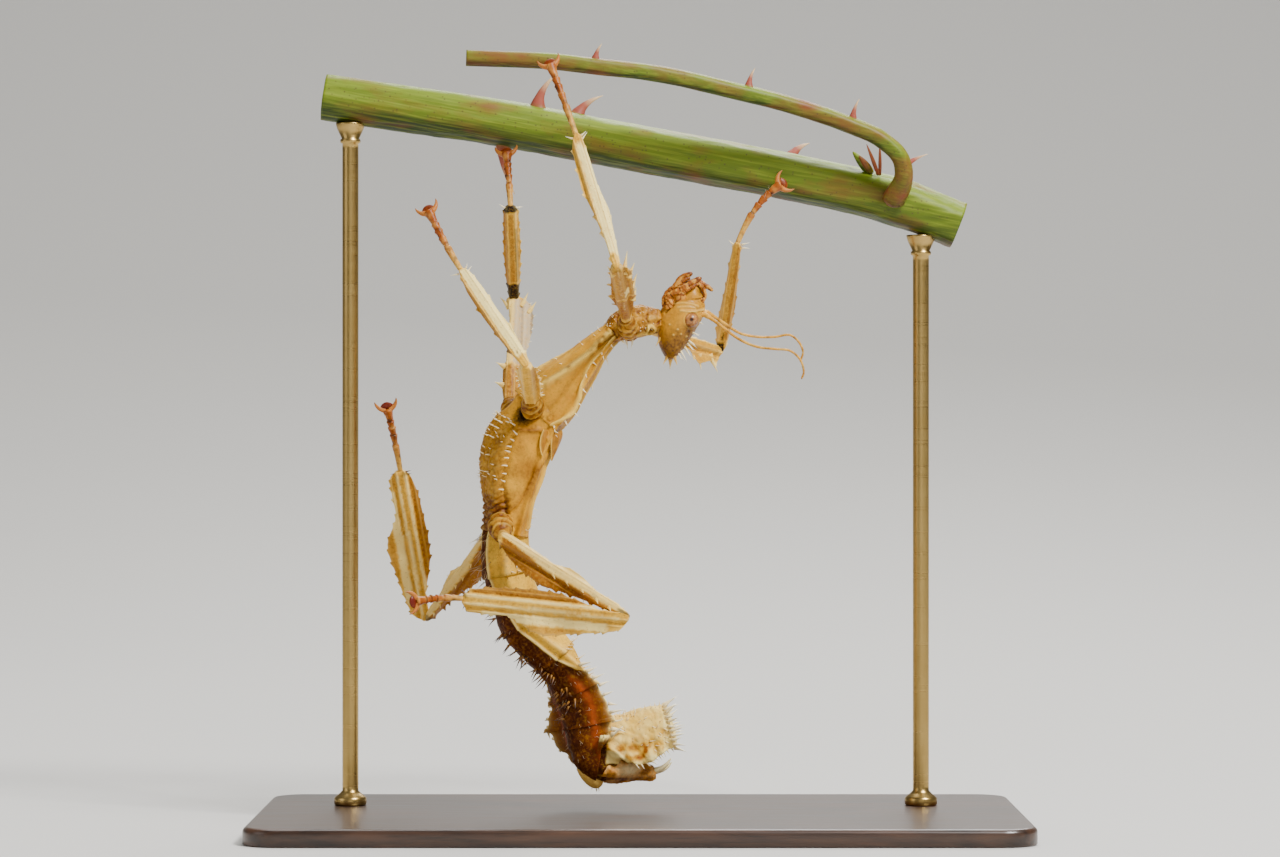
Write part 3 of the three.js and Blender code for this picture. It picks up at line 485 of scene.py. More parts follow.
def stem(points, radius_at, sides, step, ribs, blush_level, sawn_ends):
    """A stem's one closed tube, with its masks: sawn ends are flat faces, others close to a blunt tip."""
    line, ways, share = evenly(points, step)
    radii = radius_at(share)[:, None] + ribs * np.cos(CANE_RIBS * turns(sides) + 2.5 * share[:, None])
    rings = rings_round(line, ways, radii, sides)
    stretched = rings * np.array([0.15, 1, 1])
    bumps = 0.03 * grain(stretched, 1.3) + 0.02 * grain(stretched, 0.5, 1)
    rings = rings + (rings - line[:, None]) * bumps[..., None]
    sawn_mask = np.zeros(rings.shape[:2])
    for end in (0, -1):
        shares = (0.97, 0.9, 0.78, 0.6, 0.45, 0.3, 0.15) if sawn_ends[end] else (0.8, 0.45, 0.2)
        faces = np.array([line[end] + (rings[end] - line[end]) * s for s in shares])
        if not sawn_ends[end]:
            bulge = ways[end] * (1 if end else -1)
            faces = faces + bulge * (radius_at(share)[end] * np.array([0.25, 0.5, 0.6]))[:, None, None]
        mask = np.broadcast_to(1.02 - np.array(shares)[:, None], faces.shape[:2]) * bool(sawn_ends[end])
        if end:
            rings, sawn_mask = np.vstack([rings, faces]), np.vstack([sawn_mask, mask])
        else:
            rings, sawn_mask = np.vstack([faces[::-1], rings]), np.vstack([mask[::-1], sawn_mask])
    return rings, {"sawn": sawn_mask, "blush": blush_level}


PRICKLE_SIDES = 16
PRICKLE_PROFILE = [(0, 1.55), (0.05, 1.2), (0.14, 0.9), (0.35, 0.55), (0.6, 0.33), (0.85, 0.15), (1, 0.03)]


def prickle_tube(root, tip, radius, hook):
    """A hooked prickle: long-footed along the stem, pinched sideways, its point bent by hook."""
    root, tip = np.array(root, float), np.array(tip, float)
    share = np.linspace(0, 1, 22)
    sunk = root - (tip - root) * 0.06
    line = sunk + (tip - sunk) * share[:, None] + np.array(hook) * (4 * share * (1 - share))[:, None]
    size = radius * np.interp(share, *np.transpose(PRICKLE_PROFILE))
    radii = size[:, None] * oval(PRICKLE_SIDES, 1.0, 0.62)
    rings = rings_round(line, unit_rows(np.gradient(line, axis=0)), radii, PRICKLE_SIDES)
    return rings, {"prickle": clamp(share * 1.1 + 0.08)[:, None]}


def cane_radius(share):
    """The cane's radius at shares of its length, between its ribs."""
    return CANE_RADIUS * (0.985 + NODE_SWELL * bell(share - NODE_PLACE, NODE_WIDTH)) - 2 * RIB_HEIGHT


CANE_PRICKLES = [
    ((-23.3, 11, 117.0), (-21.6, 11, 108.4), (-0.9, 0, 0.4)),
    ((-17.5, 10, 123.0), (-14.4, 9.5, 129.0), (-0.8, 0, 0.3)),
    ((-10.8, 12, 121.8), (-6.4, 12.5, 125.6), (-0.7, 0, 0.4)),
    ((26, 13.5, 114.4), (29.5, 16, 117.6), (-0.4, 0, 0.5)),
]
cane_tubes = [stem(CANE_POINTS, cane_radius, CANE_SIDES, CANE_STEP, RIB_HEIGHT, 0.12, (True, True))]
cane_tubes += [prickle_tube(root, tip, 1.45, hook) for root, tip, hook in CANE_PRICKLES]
settle(piece_from("bramble_cane", cane_tubes, bark), "bramble_bark", "perch_cane")

# ---- Leaf stalk
# The stalk of one bramble leaf, cut off where its leaflets began. It grows from the cane's last joint,
# bends back over the cane and is redder than it, with small straight prickles. A winter bud sits in the
# fork, wrapped in green scales, with the dry brown points of two leafy scales beside it.
STALK_POINTS = [
    (43.4, 6.2, 107.2), (45.0, 4, 110.8), (44.4, 3, 114.2), (41.0, 2.5, 117.4), (35.8, 2, 119.7),
    (27.2, 1, 122.6), (15.3, -1, 125.5), (3.4, -3, 128.0), (-6.8, -4.5, 129.1), (-15.5, -5.5, 130.0),
    (-29.3, -6, 130.5),
]
STALK_PRICKLES = [
    ((18.5, -0.6, 125.9), (19.6, -0.4, 129.3)), ((36.3, 2.0, 120.6), (37.4, 1.6, 124.2)),
    ((45.4, 3.2, 113.0), (49.2, 3.6, 114.9)), ((-7.5, -4.6, 130.2), (-6.4, -4.8, 133.0)),
]


def stalk_radius(share):
    """The stalk's radius at shares of its length: swollen at its foot, and thinning a little."""
    return 1.48 * (1 + 0.35 * bell(share, 0.05)) - 0.12 * share


stalk_tubes = [stem(STALK_POINTS, stalk_radius, 40, 0.4, 0.05, 0.26, (False, True))]
stalk_tubes += [prickle_tube(root, tip, 0.78, (-0.25, 0, 0.1)) for root, tip in STALK_PRICKLES]
settle(piece_from("leaf_stalk", stalk_tubes, bark), "bramble_bark", "perch_stalk")

BUD_SIDES = 18
BUD_SCALES = [  # root, tip, widest radius, flatness and redness of each scale
    ((39.4, 9.4, 112.3), (36.6, 8.2, 115.6), 0.95, 0.85, 0.1),
    ((39.9, 9.0, 112.0), (37.6, 7.4, 114.9), 0.75, 0.6, 0.35),
    ((41.0, 8.4, 111.6), (38.9, 6.9, 116.8), 0.42, 0.35, 0.75),
    ((41.3, 8.8, 111.6), (41.2, 7.6, 116.9), 0.36, 0.35, 0.8),
]
bud_tubes = []
for root, tip, wide, flatness, red in BUD_SCALES:
    share = np.linspace(0, 1, 18)
    line = np.array(root) + (np.array(tip) - np.array(root)) * share[:, None]
    line[:, 1] -= 0.5 * np.sin(math.pi * share)
    size = wide * np.sqrt(np.clip(np.sin(math.pi * (0.12 + 0.87 * share)), 0.001, 1)) * (1 - 0.45 * share)
    radii = size[:, None] * oval(BUD_SIDES, 1.0, flatness)
    rings = rings_round(line, unit_rows(np.gradient(line, axis=0)), radii, BUD_SIDES)
    bud_tubes.append((rings, {"blush": red}))
settle(piece_from("winter_bud", bud_tubes, bark), "bramble_bark")

# ---- Body line
# Her shell is a row of plates round one line from neck to tail. A place on the shell is a row number and a
# fold: 0 on the belly's middle, 1 on the back's middle, the same on both sides.
BODY_ROWS = [  # middle, half width, heights of the back and the belly, degrees that the belly is rolled left
    (2.9, 0, 86.3, 2.2, 2.1, 2.1, 5), (0.0, 0, 86.1, 2.9, 2.6, 2.9, 8), (-3.1, 0, 85.3, 2.9, 2.5, 2.7, 12),
    (-4.9, 0, 84.1, 2.3, 1.9, 1.9, 15), (-7.7, 0, 81.5, 2.8, 2.3, 2.3, 20),
    (-10.5, 0, 78.3, 3.7, 3.2, 3.1, 22), (-13.6, 0, 74.9, 4.7, 4.2, 4.1, 25),
    (-15.6, 0, 72.5, 5.1, 4.7, 4.5, 27), (-17.9, 0, 70.3, 5.3, 4.9, 4.8, 28),
    (-19.7, 0, 67.4, 5.6, 5.1, 5.2, 30), (-21.1, 0, 64.3, 5.8, 5.3, 5.4, 30),
    (-21.9, 0, 59.2, 5.2, 4.8, 4.9, 28), (-22.6, 0, 53.6, 4.4, 4.0, 3.8, 20),
    (-23.4, 0, 48.2, 4.4, 4.6, 3.8, 12), (-23.1, 0, 43.1, 4.8, 4.7, 3.7, 8),
    (-21.6, 0, 38.5, 5.0, 4.7, 3.8, 10), (-19.9, 0.2, 34.4, 5.0, 4.8, 3.9, 14),
    (-17.0, 0.4, 31.2, 5.0, 4.7, 3.9, 20), (-14.6, 0.6, 28.6, 4.9, 4.1, 3.6, 28),
    (-12.4, 0.8, 25.2, 4.7, 3.1, 2.9, 42), (-10.7, 1.0, 21.8, 4.7, 2.8, 2.8, 52),
    (-9.5, 1.0, 18.1, 4.6, 2.8, 3.2, 50), (-8.6, 1.0, 15.0, 4.4, 2.8, 4.1, 42),
    (-6.7, 1.0, 12.9, 4.1, 3.2, 5.3, 30), (-3.9, 1.0, 14.3, 4.3, 4.8, 3.3, 4),
    (-1.0, 1.0, 15.5, 4.2, 4.4, 4.3, -4), (2.0, 1.0, 16.9, 3.9, 3.9, 3.7, -8),
    (5.1, 1.0, 17.8, 3.4, 3.3, 3.2, -10),
]
LAST_ROW = len(BODY_ROWS) - 1
THORAX_SECTION = [
    (0, -1), (0.45, -0.97), (0.68, -0.8), (0.92, -0.25), (0.94, 0.15), (1.1, 0.36), (0.9, 0.55),
    (0.5, 0.88), (0, 1),
]
ABDOMEN_SECTION = [
    (0, -1), (0.5, -0.84), (0.85, -0.4), (1.05, -0.12), (1.05, 0.06), (0.8, 0.45), (0.45, 0.85), (0, 1),
]
BODY_SIDES = 150
ROW_STEP = 0.035  # of a row, which puts the rings about RING_GAP apart
RING_GAP = 0.12
TUCK = 6  # rings that are drawn in at the front of a plate


def rise(values, start, width):
    """From 0 at the start to 1 where a value is width past it; a negative width turns it round."""
    return clamp((values - start) / width)


def turned_about(vectors, axes, degrees):
    """The vectors turned about unit axes."""
    c, s = np.cos(np.radians(degrees))[:, None], np.sin(np.radians(degrees))[:, None]
    lift = np.sum(axes * vectors, -1, keepdims=True)
    return vectors * c + np.cross(axes, vectors) * s + axes * lift * (1 - c)


def body_frames(rows):
    """At each row: the middle, the directions along, out to the left and up to the back, and the sizes."""
    table = np.array(BODY_ROWS, float)
    middle = smooth_path(table[:, :3], rows)
    behind, ahead = (smooth_path(table[:, :3], np.clip(rows + d, 0, LAST_ROW)) for d in (-0.02, 0.02))
    along = unit_rows(ahead - behind)
    sizes = smooth_path(table[:, 3:], rows, even=True)
    left = np.tile([0.0, -1.0, 0.0], (len(rows), 1))
    level = unit_rows(np.cross(left, along))
    out, up = (turned_about(way, along, -sizes[:, 3]) for way in (left, level))
    return middle, along, out, up, sizes


def section_line(section, sides):
    """A closed smooth outline from half of it, as evenly spaced points from the belly round by the left."""
    corners = section + [(-out, up) for out, up in section[-2:0:-1]]
    loop = [corners[-1], *corners, corners[0], corners[1]]
    fine = smooth_path(loop, np.linspace(1, len(corners) + 1, 900), even=True)
    run = np.r_[0, np.cumsum(np.linalg.norm(np.diff(fine, axis=0), axis=1))]
    want = np.arange(sides) / sides * run[-1]
    return np.stack([np.interp(want, run, fine[:, axis]) for axis in range(2)], -1)


def body_rings(rows, section, lobes=(0, 0)):
    """Rings of shell at the rows. lobes are the widths added to the left and right rims, one per ring."""
    middle, _, out, up, sizes = body_frames(rows)
    outline = section_line(section, BODY_SIDES)
    rim = rise(np.abs(outline[:, 0]), 0.8, 0.25) ** 2
    left, right = (np.broadcast_to(lobe, rows.shape)[:, None] for lobe in lobes)
    sideways = outline[:, 0] * sizes[:, :1] + np.where(outline[:, 0] > 0, left, -right) * rim
    upwards = outline[:, 1] * np.where(outline[:, 1] > 0, sizes[:, 1:2], sizes[:, 2:3])
    return middle[:, None] + out[:, None] * sideways[..., None] + up[:, None] * upwards[..., None]


def fold_of():
    """The fold at each side of a ring."""
    around = np.arange(BODY_SIDES) / BODY_SIDES
    return 2 * np.minimum(around, 1 - around)


def on_shell(section, marks, side, lobes=(0, 0)):
    """Points on the shell at (row, fold) marks, on the left where side is 1 and the right where it is -1."""
    rows, folds = np.array(marks, float).T
    rings = body_rings(rows, section, lobes)
    place = (folds / 2 * BODY_SIDES) if side > 0 else (BODY_SIDES - folds / 2 * BODY_SIDES)
    low = np.floor(place).astype(int)
    part = (place - low)[:, None]
    pick = np.arange(len(rows))
    return rings[pick, low % BODY_SIDES] * (1 - part) + rings[pick, (low + 1) % BODY_SIDES] * part


def out_of(rings):
    """The outward direction at each point of a closed tube."""
    across = np.roll(rings, -1, 1) - np.roll(rings, 1, 1)
    normals = np.cross(across, np.gradient(rings, axis=0))
    normals /= np.linalg.norm(normals, axis=-1, keepdims=True) + 1e-9
    middle = rings.mean(1, keepdims=True)
    return normals * np.sign((normals * (rings - middle)).sum())


def nearness(rings, line, width):
    """From 1 on a line to 0 away from it, over points; the fall is about width millimetres."""
    line = np.asarray(line, float)
    if len(line) > 1:
        straight = line[0] + (line[1] - line[0]) * np.linspace(0, 1, 40)[:, None]
        line = evenly(line, RING_GAP)[0] if len(line) > 2 else straight
    tree = KDTree(len(line))
    for index, point in enumerate(line):
        tree.insert(point, index)
    tree.balance()
    far = np.array([tree.find(p)[2] for p in rings.reshape(-1, 3).tolist()])
    return bell(far, width).reshape(rings.shape[:-1])


def both_sides(rings, section, marks, width):
    """nearness to a line of marks on the left and to the same line on the right."""
    return np.maximum(*(nearness(rings, on_shell(section, marks, side), width) for side in (1, -1)))


def distance_to(rings, mark):
    """How far points are from a mark on the thorax, on the nearer side."""
    return np.minimum(*(
        np.linalg.norm(rings - on_shell(THORAX_SECTION, [mark], side)[0], axis=-1) for side in (1, -1)
    ))


def wrinkle(points, size, seed, thin=5.0):
    """Branching creases: 1 in a crease and 0 between them."""
    return clamp(1 - thin * np.abs(grain(points, size, seed)))


def tucked(rings, front, lip):
    """Draws in the front of a plate, to lie inside the one before, and turns its hind edge inwards."""
    middle = rings.mean(1, keepdims=True)
    scale = np.ones(len(rings))
    scale[:TUCK] = front + (1 - front) * np.sin(np.linspace(0, math.pi / 2, TUCK))
    rings = middle + (rings - middle) * scale[:, None, None]
    back = rings[-2].mean(0) - rings[-1].mean(0)
    back /= np.linalg.norm(back)
    inward = unit_rows(rings[-1].mean(0) - rings[-1])
    steps = ((0.5, -0.1), (1.2, 0.0), (2.0, 0.35), (4.0, 0.6))  # how far in and back
    return np.vstack([rings, [rings[-1] + inward * (lip * s) + back * d for s, d in steps]])


def plate(name, rings, masks, material, slot, node):
    """One piece of shell, in which the last ring of each mask covers the rings beyond it."""
    for mask, values in masks.items():
        masks[mask] = np.vstack([values, np.repeat(values[-1:], len(rings) - len(values), 0)])
    settle(piece_from(name, [(rings, masks)], material), slot, node)


def cuticle(
    name, light, mid, dark, crest, crease,
    belly="#4a2c12", flush="#b5451c", specks=0.35, shine=0.46, gloss=0.22,
):
    """Insect shell. Masks on the piece say where its ridges, creases, shade, belly tint and painted shadow,
    and red stripe are. The crease colour is painted shade in grooves and folds, and marks dark joints on
    feelers, antennae and feet; the crest colour is painted highlight on some ridges and folds, and the
    shell's own pale colour elsewhere.
    """
    material = blank_material(name)
    tree = material.node_tree
    at = add(tree, "ShaderNodeTexCoord").outputs["Object"]
    # Clouds of 3 mm, mottling of 0.5 mm, and dots 0.12 mm across about 0.6 mm apart.
    clouds = add(tree, "ShaderNodeTexNoise", {"Vector": at, "Scale": 330.0, "Detail": 3.0})
    mottle = add(tree, "ShaderNodeTexNoise", {
        "Vector": at, "Scale": 2000.0, "Detail": 4.0, "Roughness": 0.6,
    })
    dots = add(tree, "ShaderNodeTexVoronoi", {"Vector": at, "Scale": 1700.0, "Randomness": 1.0})
    blend = add(tree, "ShaderNodeMix", {"Factor": 0.45, 2: clouds.outputs["Fac"], 3: mottle.outputs["Fac"]})
    ramp = add(tree, "ShaderNodeValToRGB", {"Fac": blend.outputs[0]})
    colour = coloured(ramp, (0.3, mid), (0.68, light))
    uneven = add(tree, "ShaderNodeMapRange", {
        "Value": mottle.outputs["Fac"], "From Min": 0.3, "From Max": 0.7, "To Min": -0.28, "To Max": 0.28,
    })
    for mask, tint, roughened in (
        ("shade", dark, 1.0), ("belly", belly, 1.0), ("flush", flush, 0.8), ("crease", crease, 0.5),
        ("crest", crest, 0.3),
    ):
        level = add(tree, "ShaderNodeAttribute", attribute_name=mask).outputs["Fac"]
        spread = add(tree, "ShaderNodeMath", {
            0: uneven.outputs[0], 1: roughened, 2: level,
        }, operation="MULTIPLY_ADD")
        steep = add(tree, "ShaderNodeMath", {0: level, 1: 6.0}, operation="MULTIPLY")
        kept = add(tree, "ShaderNodeMath", {
            0: spread.outputs[0], 1: steep.outputs[0],
        }, operation="MINIMUM", use_clamp=True)
        colour = add(tree, "ShaderNodeMix", {
            "Factor": kept.outputs[0], 6: colour, 7: linear(tint),
        }, data_type="RGBA").outputs[2]
    dotted = add(tree, "ShaderNodeMapRange", {
        "Value": dots.outputs["Distance"], "From Min": 0.1, "From Max": 0.2, "To Min": specks, "To Max": 0.0,
    })
    colour = add(tree, "ShaderNodeMix", {
        "Factor": dotted.outputs[0], 6: colour, 7: linear(dark),
    }, data_type="RGBA").outputs[2]
    rough = add(tree, "ShaderNodeMapRange", {
        "Value": mottle.outputs["Fac"], "To Min": shine - 0.08, "To Max": shine + 0.16,
    })
    pitted = add(tree, "ShaderNodeMath", {0: mottle.outputs["Fac"], 1: dots.outputs["Distance"]})
    bump = add(tree, "ShaderNodeBump", {"Height": pitted.outputs[0], "Strength": 0.45, "Distance": 0.00006})
    return surface(
        material, Base_Color=colour, Roughness=rough.outputs[0], Normal=bump.outputs[0],
        Specular_IOR_Level=gloss, Subsurface_Weight=0.08, Subsurface_Scale=0.0005,
        Subsurface_Radius=(1.0, 0.8, 0.4), Coat_Weight=0.02, Coat_Roughness=0.4,
    )


# Its belly colour, near black, is painted shadow: only the sockets of the middle legs use it.
straw_shell = cuticle(
    "straw cuticle", "#dfa62a", "#bd7f14", "#74420a", "#efc95e", "#5e2a06", belly="#140a03", gloss=0.16,
)

# ---- Prothorax
# The short wrinkled ring behind the head that carries the front legs. Its shell is thick, golden brown and
# creased, painted dark red in the creases as painted shade, with a raised arc above each front coxa and a
# pore in a round rim, its middle painted dark as painted shade.
PROTHORAX_ROWS = (-0.25, 3.02)
NECK_STEP = 3.0  # millimetres to a row in front of row 0, where the shell runs straight on
PORE_MARK = (0.45, 0.7)
ARC_MARKS = [(2.15, 0.42), (2.02, 0.5), (1.54, 0.72), (0.84, 0.70), (0.6, 0.62)]

rows = np.arange(*PROTHORAX_ROWS, ROW_STEP)
rings = body_rings(np.clip(rows, 0, LAST_ROW), THORAX_SECTION)
rings += (clamp(-rows) * NECK_STEP)[:, None, None] * -body_frames(np.array([0.0]))[1]
normals = out_of(rings)
creases = wrinkle(rings * [1.0, 1.3, 1.0], 2.1, 3, 6.0) * (0.4 + 0.6 * (grain(rings, 2.0, 8) > -0.1))
fine_creases = wrinkle(rings, 0.9, 5, 5.0)
arc = both_sides(rings, THORAX_SECTION, ARC_MARKS, 0.32)
pore_rim = bell(distance_to(rings, PORE_MARK) - 0.85, 0.25)
pore = bell(distance_to(rings, PORE_MARK), 0.46)
lumps = grain(rings, 1.5, 2)
height = 0.36 * arc + 0.45 * pore_rim - 0.4 * pore - 0.24 * creases - 0.1 * fine_creases + 0.18 * lumps
rings += normals * height[..., None]
# Painted shade darkens the creases and the middle of the pore; a painted highlight lightens the tops of the
# lumps.
masks = {
    "crease": clamp(0.9 * creases + 1.2 * pore + 0.3 * fine_creases),
    "crest": clamp(0.4 * arc + 0.6 * pore_rim + 0.6 * np.clip(lumps - 0.15, 0, 0.5)) * (1 - creases),
    "shade": clamp(0.55 + 0.5 * grain(rings, 2.6, 4)),
}
plate("prothorax_shell", tucked(rings, 0.8, 0.15), masks, straw_shell, "straw_plate", "prothorax")

# ---- Mesothorax
# A long smooth wedge that widens backwards. A rounded rib with brown marks runs back along its side, a
# sharper pale keel bears the side spines, and its hind edge is thickened.
MESOTHORAX_ROWS = (2.8, 7.82)
RIB_MARKS = [
    (2.95, 0.37), (3.64, 0.35), (4.14, 0.35), (4.88, 0.292), (5.6, 0.242), (6.44, 0.18), (7.2, 0.15),
]
KEEL_MARKS = [
    (2.95, 0.53), (3.82, 0.51), (4.42, 0.47), (4.92, 0.485), (5.36, 0.567), (5.9, 0.617), (6.52, 0.625),
    (7.1, 0.59), (7.7, 0.55),
]
BACK_KEEL_MARKS = [(3.1, 0.76), (3.94, 0.77), (4.42, 0.82), (5.22, 0.83), (6.28, 0.84), (7.6, 0.86)]

rows = np.arange(*MESOTHORAX_ROWS, ROW_STEP)
rings = body_rings(rows, THORAX_SECTION)
normals = out_of(rings)
fold = np.broadcast_to(fold_of(), rings.shape[:2])
rib = both_sides(rings, THORAX_SECTION, RIB_MARKS, 0.52)
keel = both_sides(rings, THORAX_SECTION, KEEL_MARKS, 0.22)
back_keel = both_sides(rings, THORAX_SECTION, BACK_KEEL_MARKS, 0.4)
groove_marks = [(row, (low + high) / 2) for (row, low), (_, high) in zip(RIB_MARKS, KEEL_MARKS)]
groove = both_sides(rings, THORAX_SECTION, groove_marks, 0.5)
rib_edge = both_sides(rings, THORAX_SECTION, [(row, fold - 0.035) for row, fold in RIB_MARKS], 0.13)
belly_marks = [(row, 0.0) for row in np.arange(3, 7.8, 0.5)]
sternum_line = nearness(rings, on_shell(THORAX_SECTION, belly_marks, 1), 0.35)
front = rise(rows, 3.5, -0.6)[:, None]
hind = rise(rows, 7.45, 0.25)[:, None]
soft = grain(rings, 2.4, 6)
creases = wrinkle(rings, 1.4, 7) * np.maximum(front, 0.8 * rise(rows, 6.9, 0.8)[:, None])
blotches = clamp(2.2 * grain(rings, 1.1, 9) - 0.15)
height = 1.0 * rib - 0.2 * rib_edge + 0.8 * keel + 0.3 * back_keel - 0.36 * groove + 0.1 * sternum_line
height += 0.12 * hind + 0.07 * soft - 0.18 * creases + 0.05 * grain(rings, 0.7, 10)
rings += normals * height[..., None]
# Painted shade darkens the plate's creases, its front behind the prothorax and the front coxae, its back
# above the keel, the groove between rib and keel and the fine groove along the rib's upper edge. A painted
# highlight runs along the top of the rib between its brown marks.
masks = {
    "crease": clamp(0.75 * creases + 0.7 * rib * blotches + 0.6 * rib_edge + 0.6 * front * (fold > 0.56)),
    "crest": clamp(1.1 * keel + 0.45 * back_keel + 0.15 * sternum_line + 0.95 * rib * (1 - blotches)),
    "shade": clamp(
        0.3 * groove * (1 - keel) + 0.5 * front + 0.14 + 0.25 * soft + 0.5 * rib * blotches
        + 0.35 * (fold > 0.64)
    ),
}
plate("mesothorax_shell", tucked(rings, 0.82, 0.15), masks, straw_shell, "straw_plate", "mesothorax")

# ---- Metathorax
# The deepest ring, between the middle and hind legs. A narrow pimply breastplate runs down its belly, with
# a spiny edge; beside it lies a smooth swollen plate with an orange rim, and above that a saw-toothed keel.
# The sockets of the middle legs are painted near black as painted shadow, and creased skin shows round the
# hind legs, darkened in its troughs as painted shade.
METATHORAX_ROWS = (7.6, 12.64)
BREAST_EDGE_MARKS = [
    (8.9, 0.2), (9.26, 0.25), (9.88, 0.267), (10.5, 0.275), (11.08, 0.258), (11.56, 0.31), (12.0, 0.36),
]
PLATE_EDGE_MARKS = [
    (9.0, 0.27), (8.75, 0.38), (8.48, 0.49), (8.7, 0.57), (9.18, 0.72), (9.9, 0.68), (10.56, 0.585),
    (11.16, 0.545), (11.64, 0.467), (11.9, 0.38),
]
SAW_KEEL_MARKS = [
    (8.3, 0.8), (9.2, 0.84), (10.0, 0.8), (10.76, 0.78), (11.2, 0.72), (11.58, 0.72), (12.3, 0.78),
]
SOCKET_MARK = (8.2, 0.22)

rows = np.arange(*METATHORAX_ROWS, ROW_STEP)
rings = body_rings(rows, THORAX_SECTION)
normals = out_of(rings)
fold = np.broadcast_to(fold_of(), rings.shape[:2])
breast_edge = both_sides(rings, THORAX_SECTION, BREAST_EDGE_MARKS, 0.4)
plate_edge = both_sides(rings, THORAX_SECTION, PLATE_EDGE_MARKS, 0.4)
saw_keel = both_sides(rings, THORAX_SECTION, SAW_KEEL_MARKS, 0.5)
socket = bell(distance_to(rings, SOCKET_MARK), 2.2)
breast = rise(fold, 0.25, -0.05) * rise(rows, 8.4, 0.4)[:, None]
loose_skin = rise(rows, 11.3, 0.5)[:, None] * rise(fold, 0.42, -0.08)
creases = wrinkle(rings * [1, 1, 1.6], 1.5, 12, 4.5) * np.maximum(0.6 * loose_skin, 0.22 * breast)
bags = np.sin(rings[..., 2] * 5.6 - rings[..., 0] * 2.0 + 2.2 * grain(rings, 1.6, 16))
creases = np.maximum(creases, clamp(-1.3 * bags) ** 1.5 * loose_skin)
pimples = clamp(grain(rings, 0.55, 13) * 2.2)
soft = grain(rings, 2.6, 14)
height = -0.4 * breast_edge + 0.4 * plate_edge + 0.6 * saw_keel - 1.8 * socket
height += 0.16 * breast * pimples - 0.42 * creases + 0.08 * soft + 0.04 * grain(rings, 0.8, 15)
rings += normals * height[..., None]
# Painted shadow fills the sockets of the middle legs; painted shade darkens the troughs of the creased skin
# and the groove along the breastplate's edge.
masks = {
    "crease": clamp(0.85 * creases + 0.25 * breast_edge), "belly": clamp(2.6 * socket - 0.8),
    "crest": clamp(0.55 * saw_keel + 0.18 * breast * pimples),
    "shade": clamp(0.35 * plate_edge + 0.5 * loose_skin + 0.24 * breast + 0.27 + 0.42 * soft),
}
plate("metathorax_shell", tucked(rings, 0.8, 0.15), masks, straw_shell, "straw_plate", "metathorax")

# ---- Wing pads
# Behind each side of the middle ring hangs a small red-brown leaf-shaped flap, the sheath of a growing fore
# wing, with a narrower pale-edged one of the hind wing behind it.
PADS = {  # the (row, fold, height) marks of the middle line, and the greatest half width
    "fore": ([(7.75, 0.66, 0.5), (8.4, 0.7, 1.0), (9.1, 0.74, 1.1), (9.95, 0.76, 0.9)], 1.35),
    "hind": ([(8.3, 0.52, 0.4), (8.8, 0.53, 0.65), (9.3, 0.55, 0.6), (9.8, 0.57, 0.5)], 0.7),
}
PAD_SIDES = 44
RIGHT_HIND_LATER = 0.45  # of a row, clear of the raised right hip
pad_shell = cuticle(
    "wing pad cuticle", "#c28518", "#a2660c", "#744608", "#ecc45c", "#4a2204", specks=0.1, shine=0.42,
)
for pad_name, (marks, half_width) in PADS.items():
    for side, word in ((1, "left"), (-1, "right")):
        late = RIGHT_HIND_LATER if (pad_name, side) == ("hind", -1) else 0.0
        rows_along = np.array([mark[0] + late for mark in marks])
        below = on_shell(THORAX_SECTION, [(row, mark[1]) for row, mark in zip(rows_along, marks)], side)
        middles = body_frames(rows_along)[0]
        heights = np.array([[mark[2]] for mark in marks])
        line, ways, share = evenly(below + unit_rows(below - middles) * heights, 0.09)
        lift = line - (middles[0] + (middles[-1] - middles[0]) * share[:, None])
        across = unit_rows(np.cross(ways, lift))
        up = np.cross(across, ways)
        turn = turns(PAD_SIDES)
        wide = half_width * np.sin(math.pi * clamp(0.25 + 0.75 * share)) ** 0.8 + 0.05
        a = wide[:, None] * np.cos(turn)
        bend = -0.28 * (a / half_width) ** 2 + 0.14 * bell(a, 0.18)
        b = 0.11 * np.sign(np.sin(turn)) * np.abs(np.sin(turn)) ** 0.5 + bend
        rings = line[:, None] + across[:, None] * a[..., None] + up[:, None] * b[..., None]
        masks = {
            "crest": 0.8 * bell(np.abs(a) - wide[:, None], 0.14),
            "crease": 0.4 * clamp(np.sin(a * 14) - 0.6),
            "shade": clamp(0.25 + 0.4 * grain(rings, 1.2, 62)),
        }
        pad = piece_from(f"{pad_name}_wing_sheath_{word}", [(rings, masks)], pad_shell)
        settle(pad, "rusty_plate", f"{pad_name}wing_pad_{word}")

# ---- Abdomen
# Rings of thinner shell, each slipped into the one before and a little wider behind. The back is pale
# straw; the underside is dark brown, partly its own colour and partly painted shade, divided from it by a
# pale fold of skin, and carries a red-orange stripe further back, beside which it is painted lighter orange
# brown as painted light. The rims of the sixth and seventh rings spread into leaf-like lobes with pale
# edges.
SLIPPED_IN = 0.3  # rows of each ring that lie inside the one before
RING_ROWS = [12.6, 14, 16, 18, 19.7, 21.2, 23]
RING_LOBES = [(0, 0.2), (0, 0.3), (0, 0.4), (0.2, 0.9), (0.8, 1.8), (1.3, 2.4)]  # left rim, front and back
RIGHT_SPREAD = 1.3
RIGHT_BULGE = 2.0  # of the right rim, where the sixth and seventh rings meet
TAIL_ROW = 23
BELLY_EDGE = [
    (12.0, 0.14), (14, 0.2), (15.5, 0.31), (16.6, 0.345), (18.0, 0.335), (18.8, 0.42), (19.2, 0.56),
    (24.5, 0.55),
]
STRIPE_MARKS = [
    (18.3, 0.31), (19.06, 0.267), (20.2, 0.32), (20.94, 0.308), (21.5, 0.34), (22.3, 0.36), (23.2, 0.31),
]

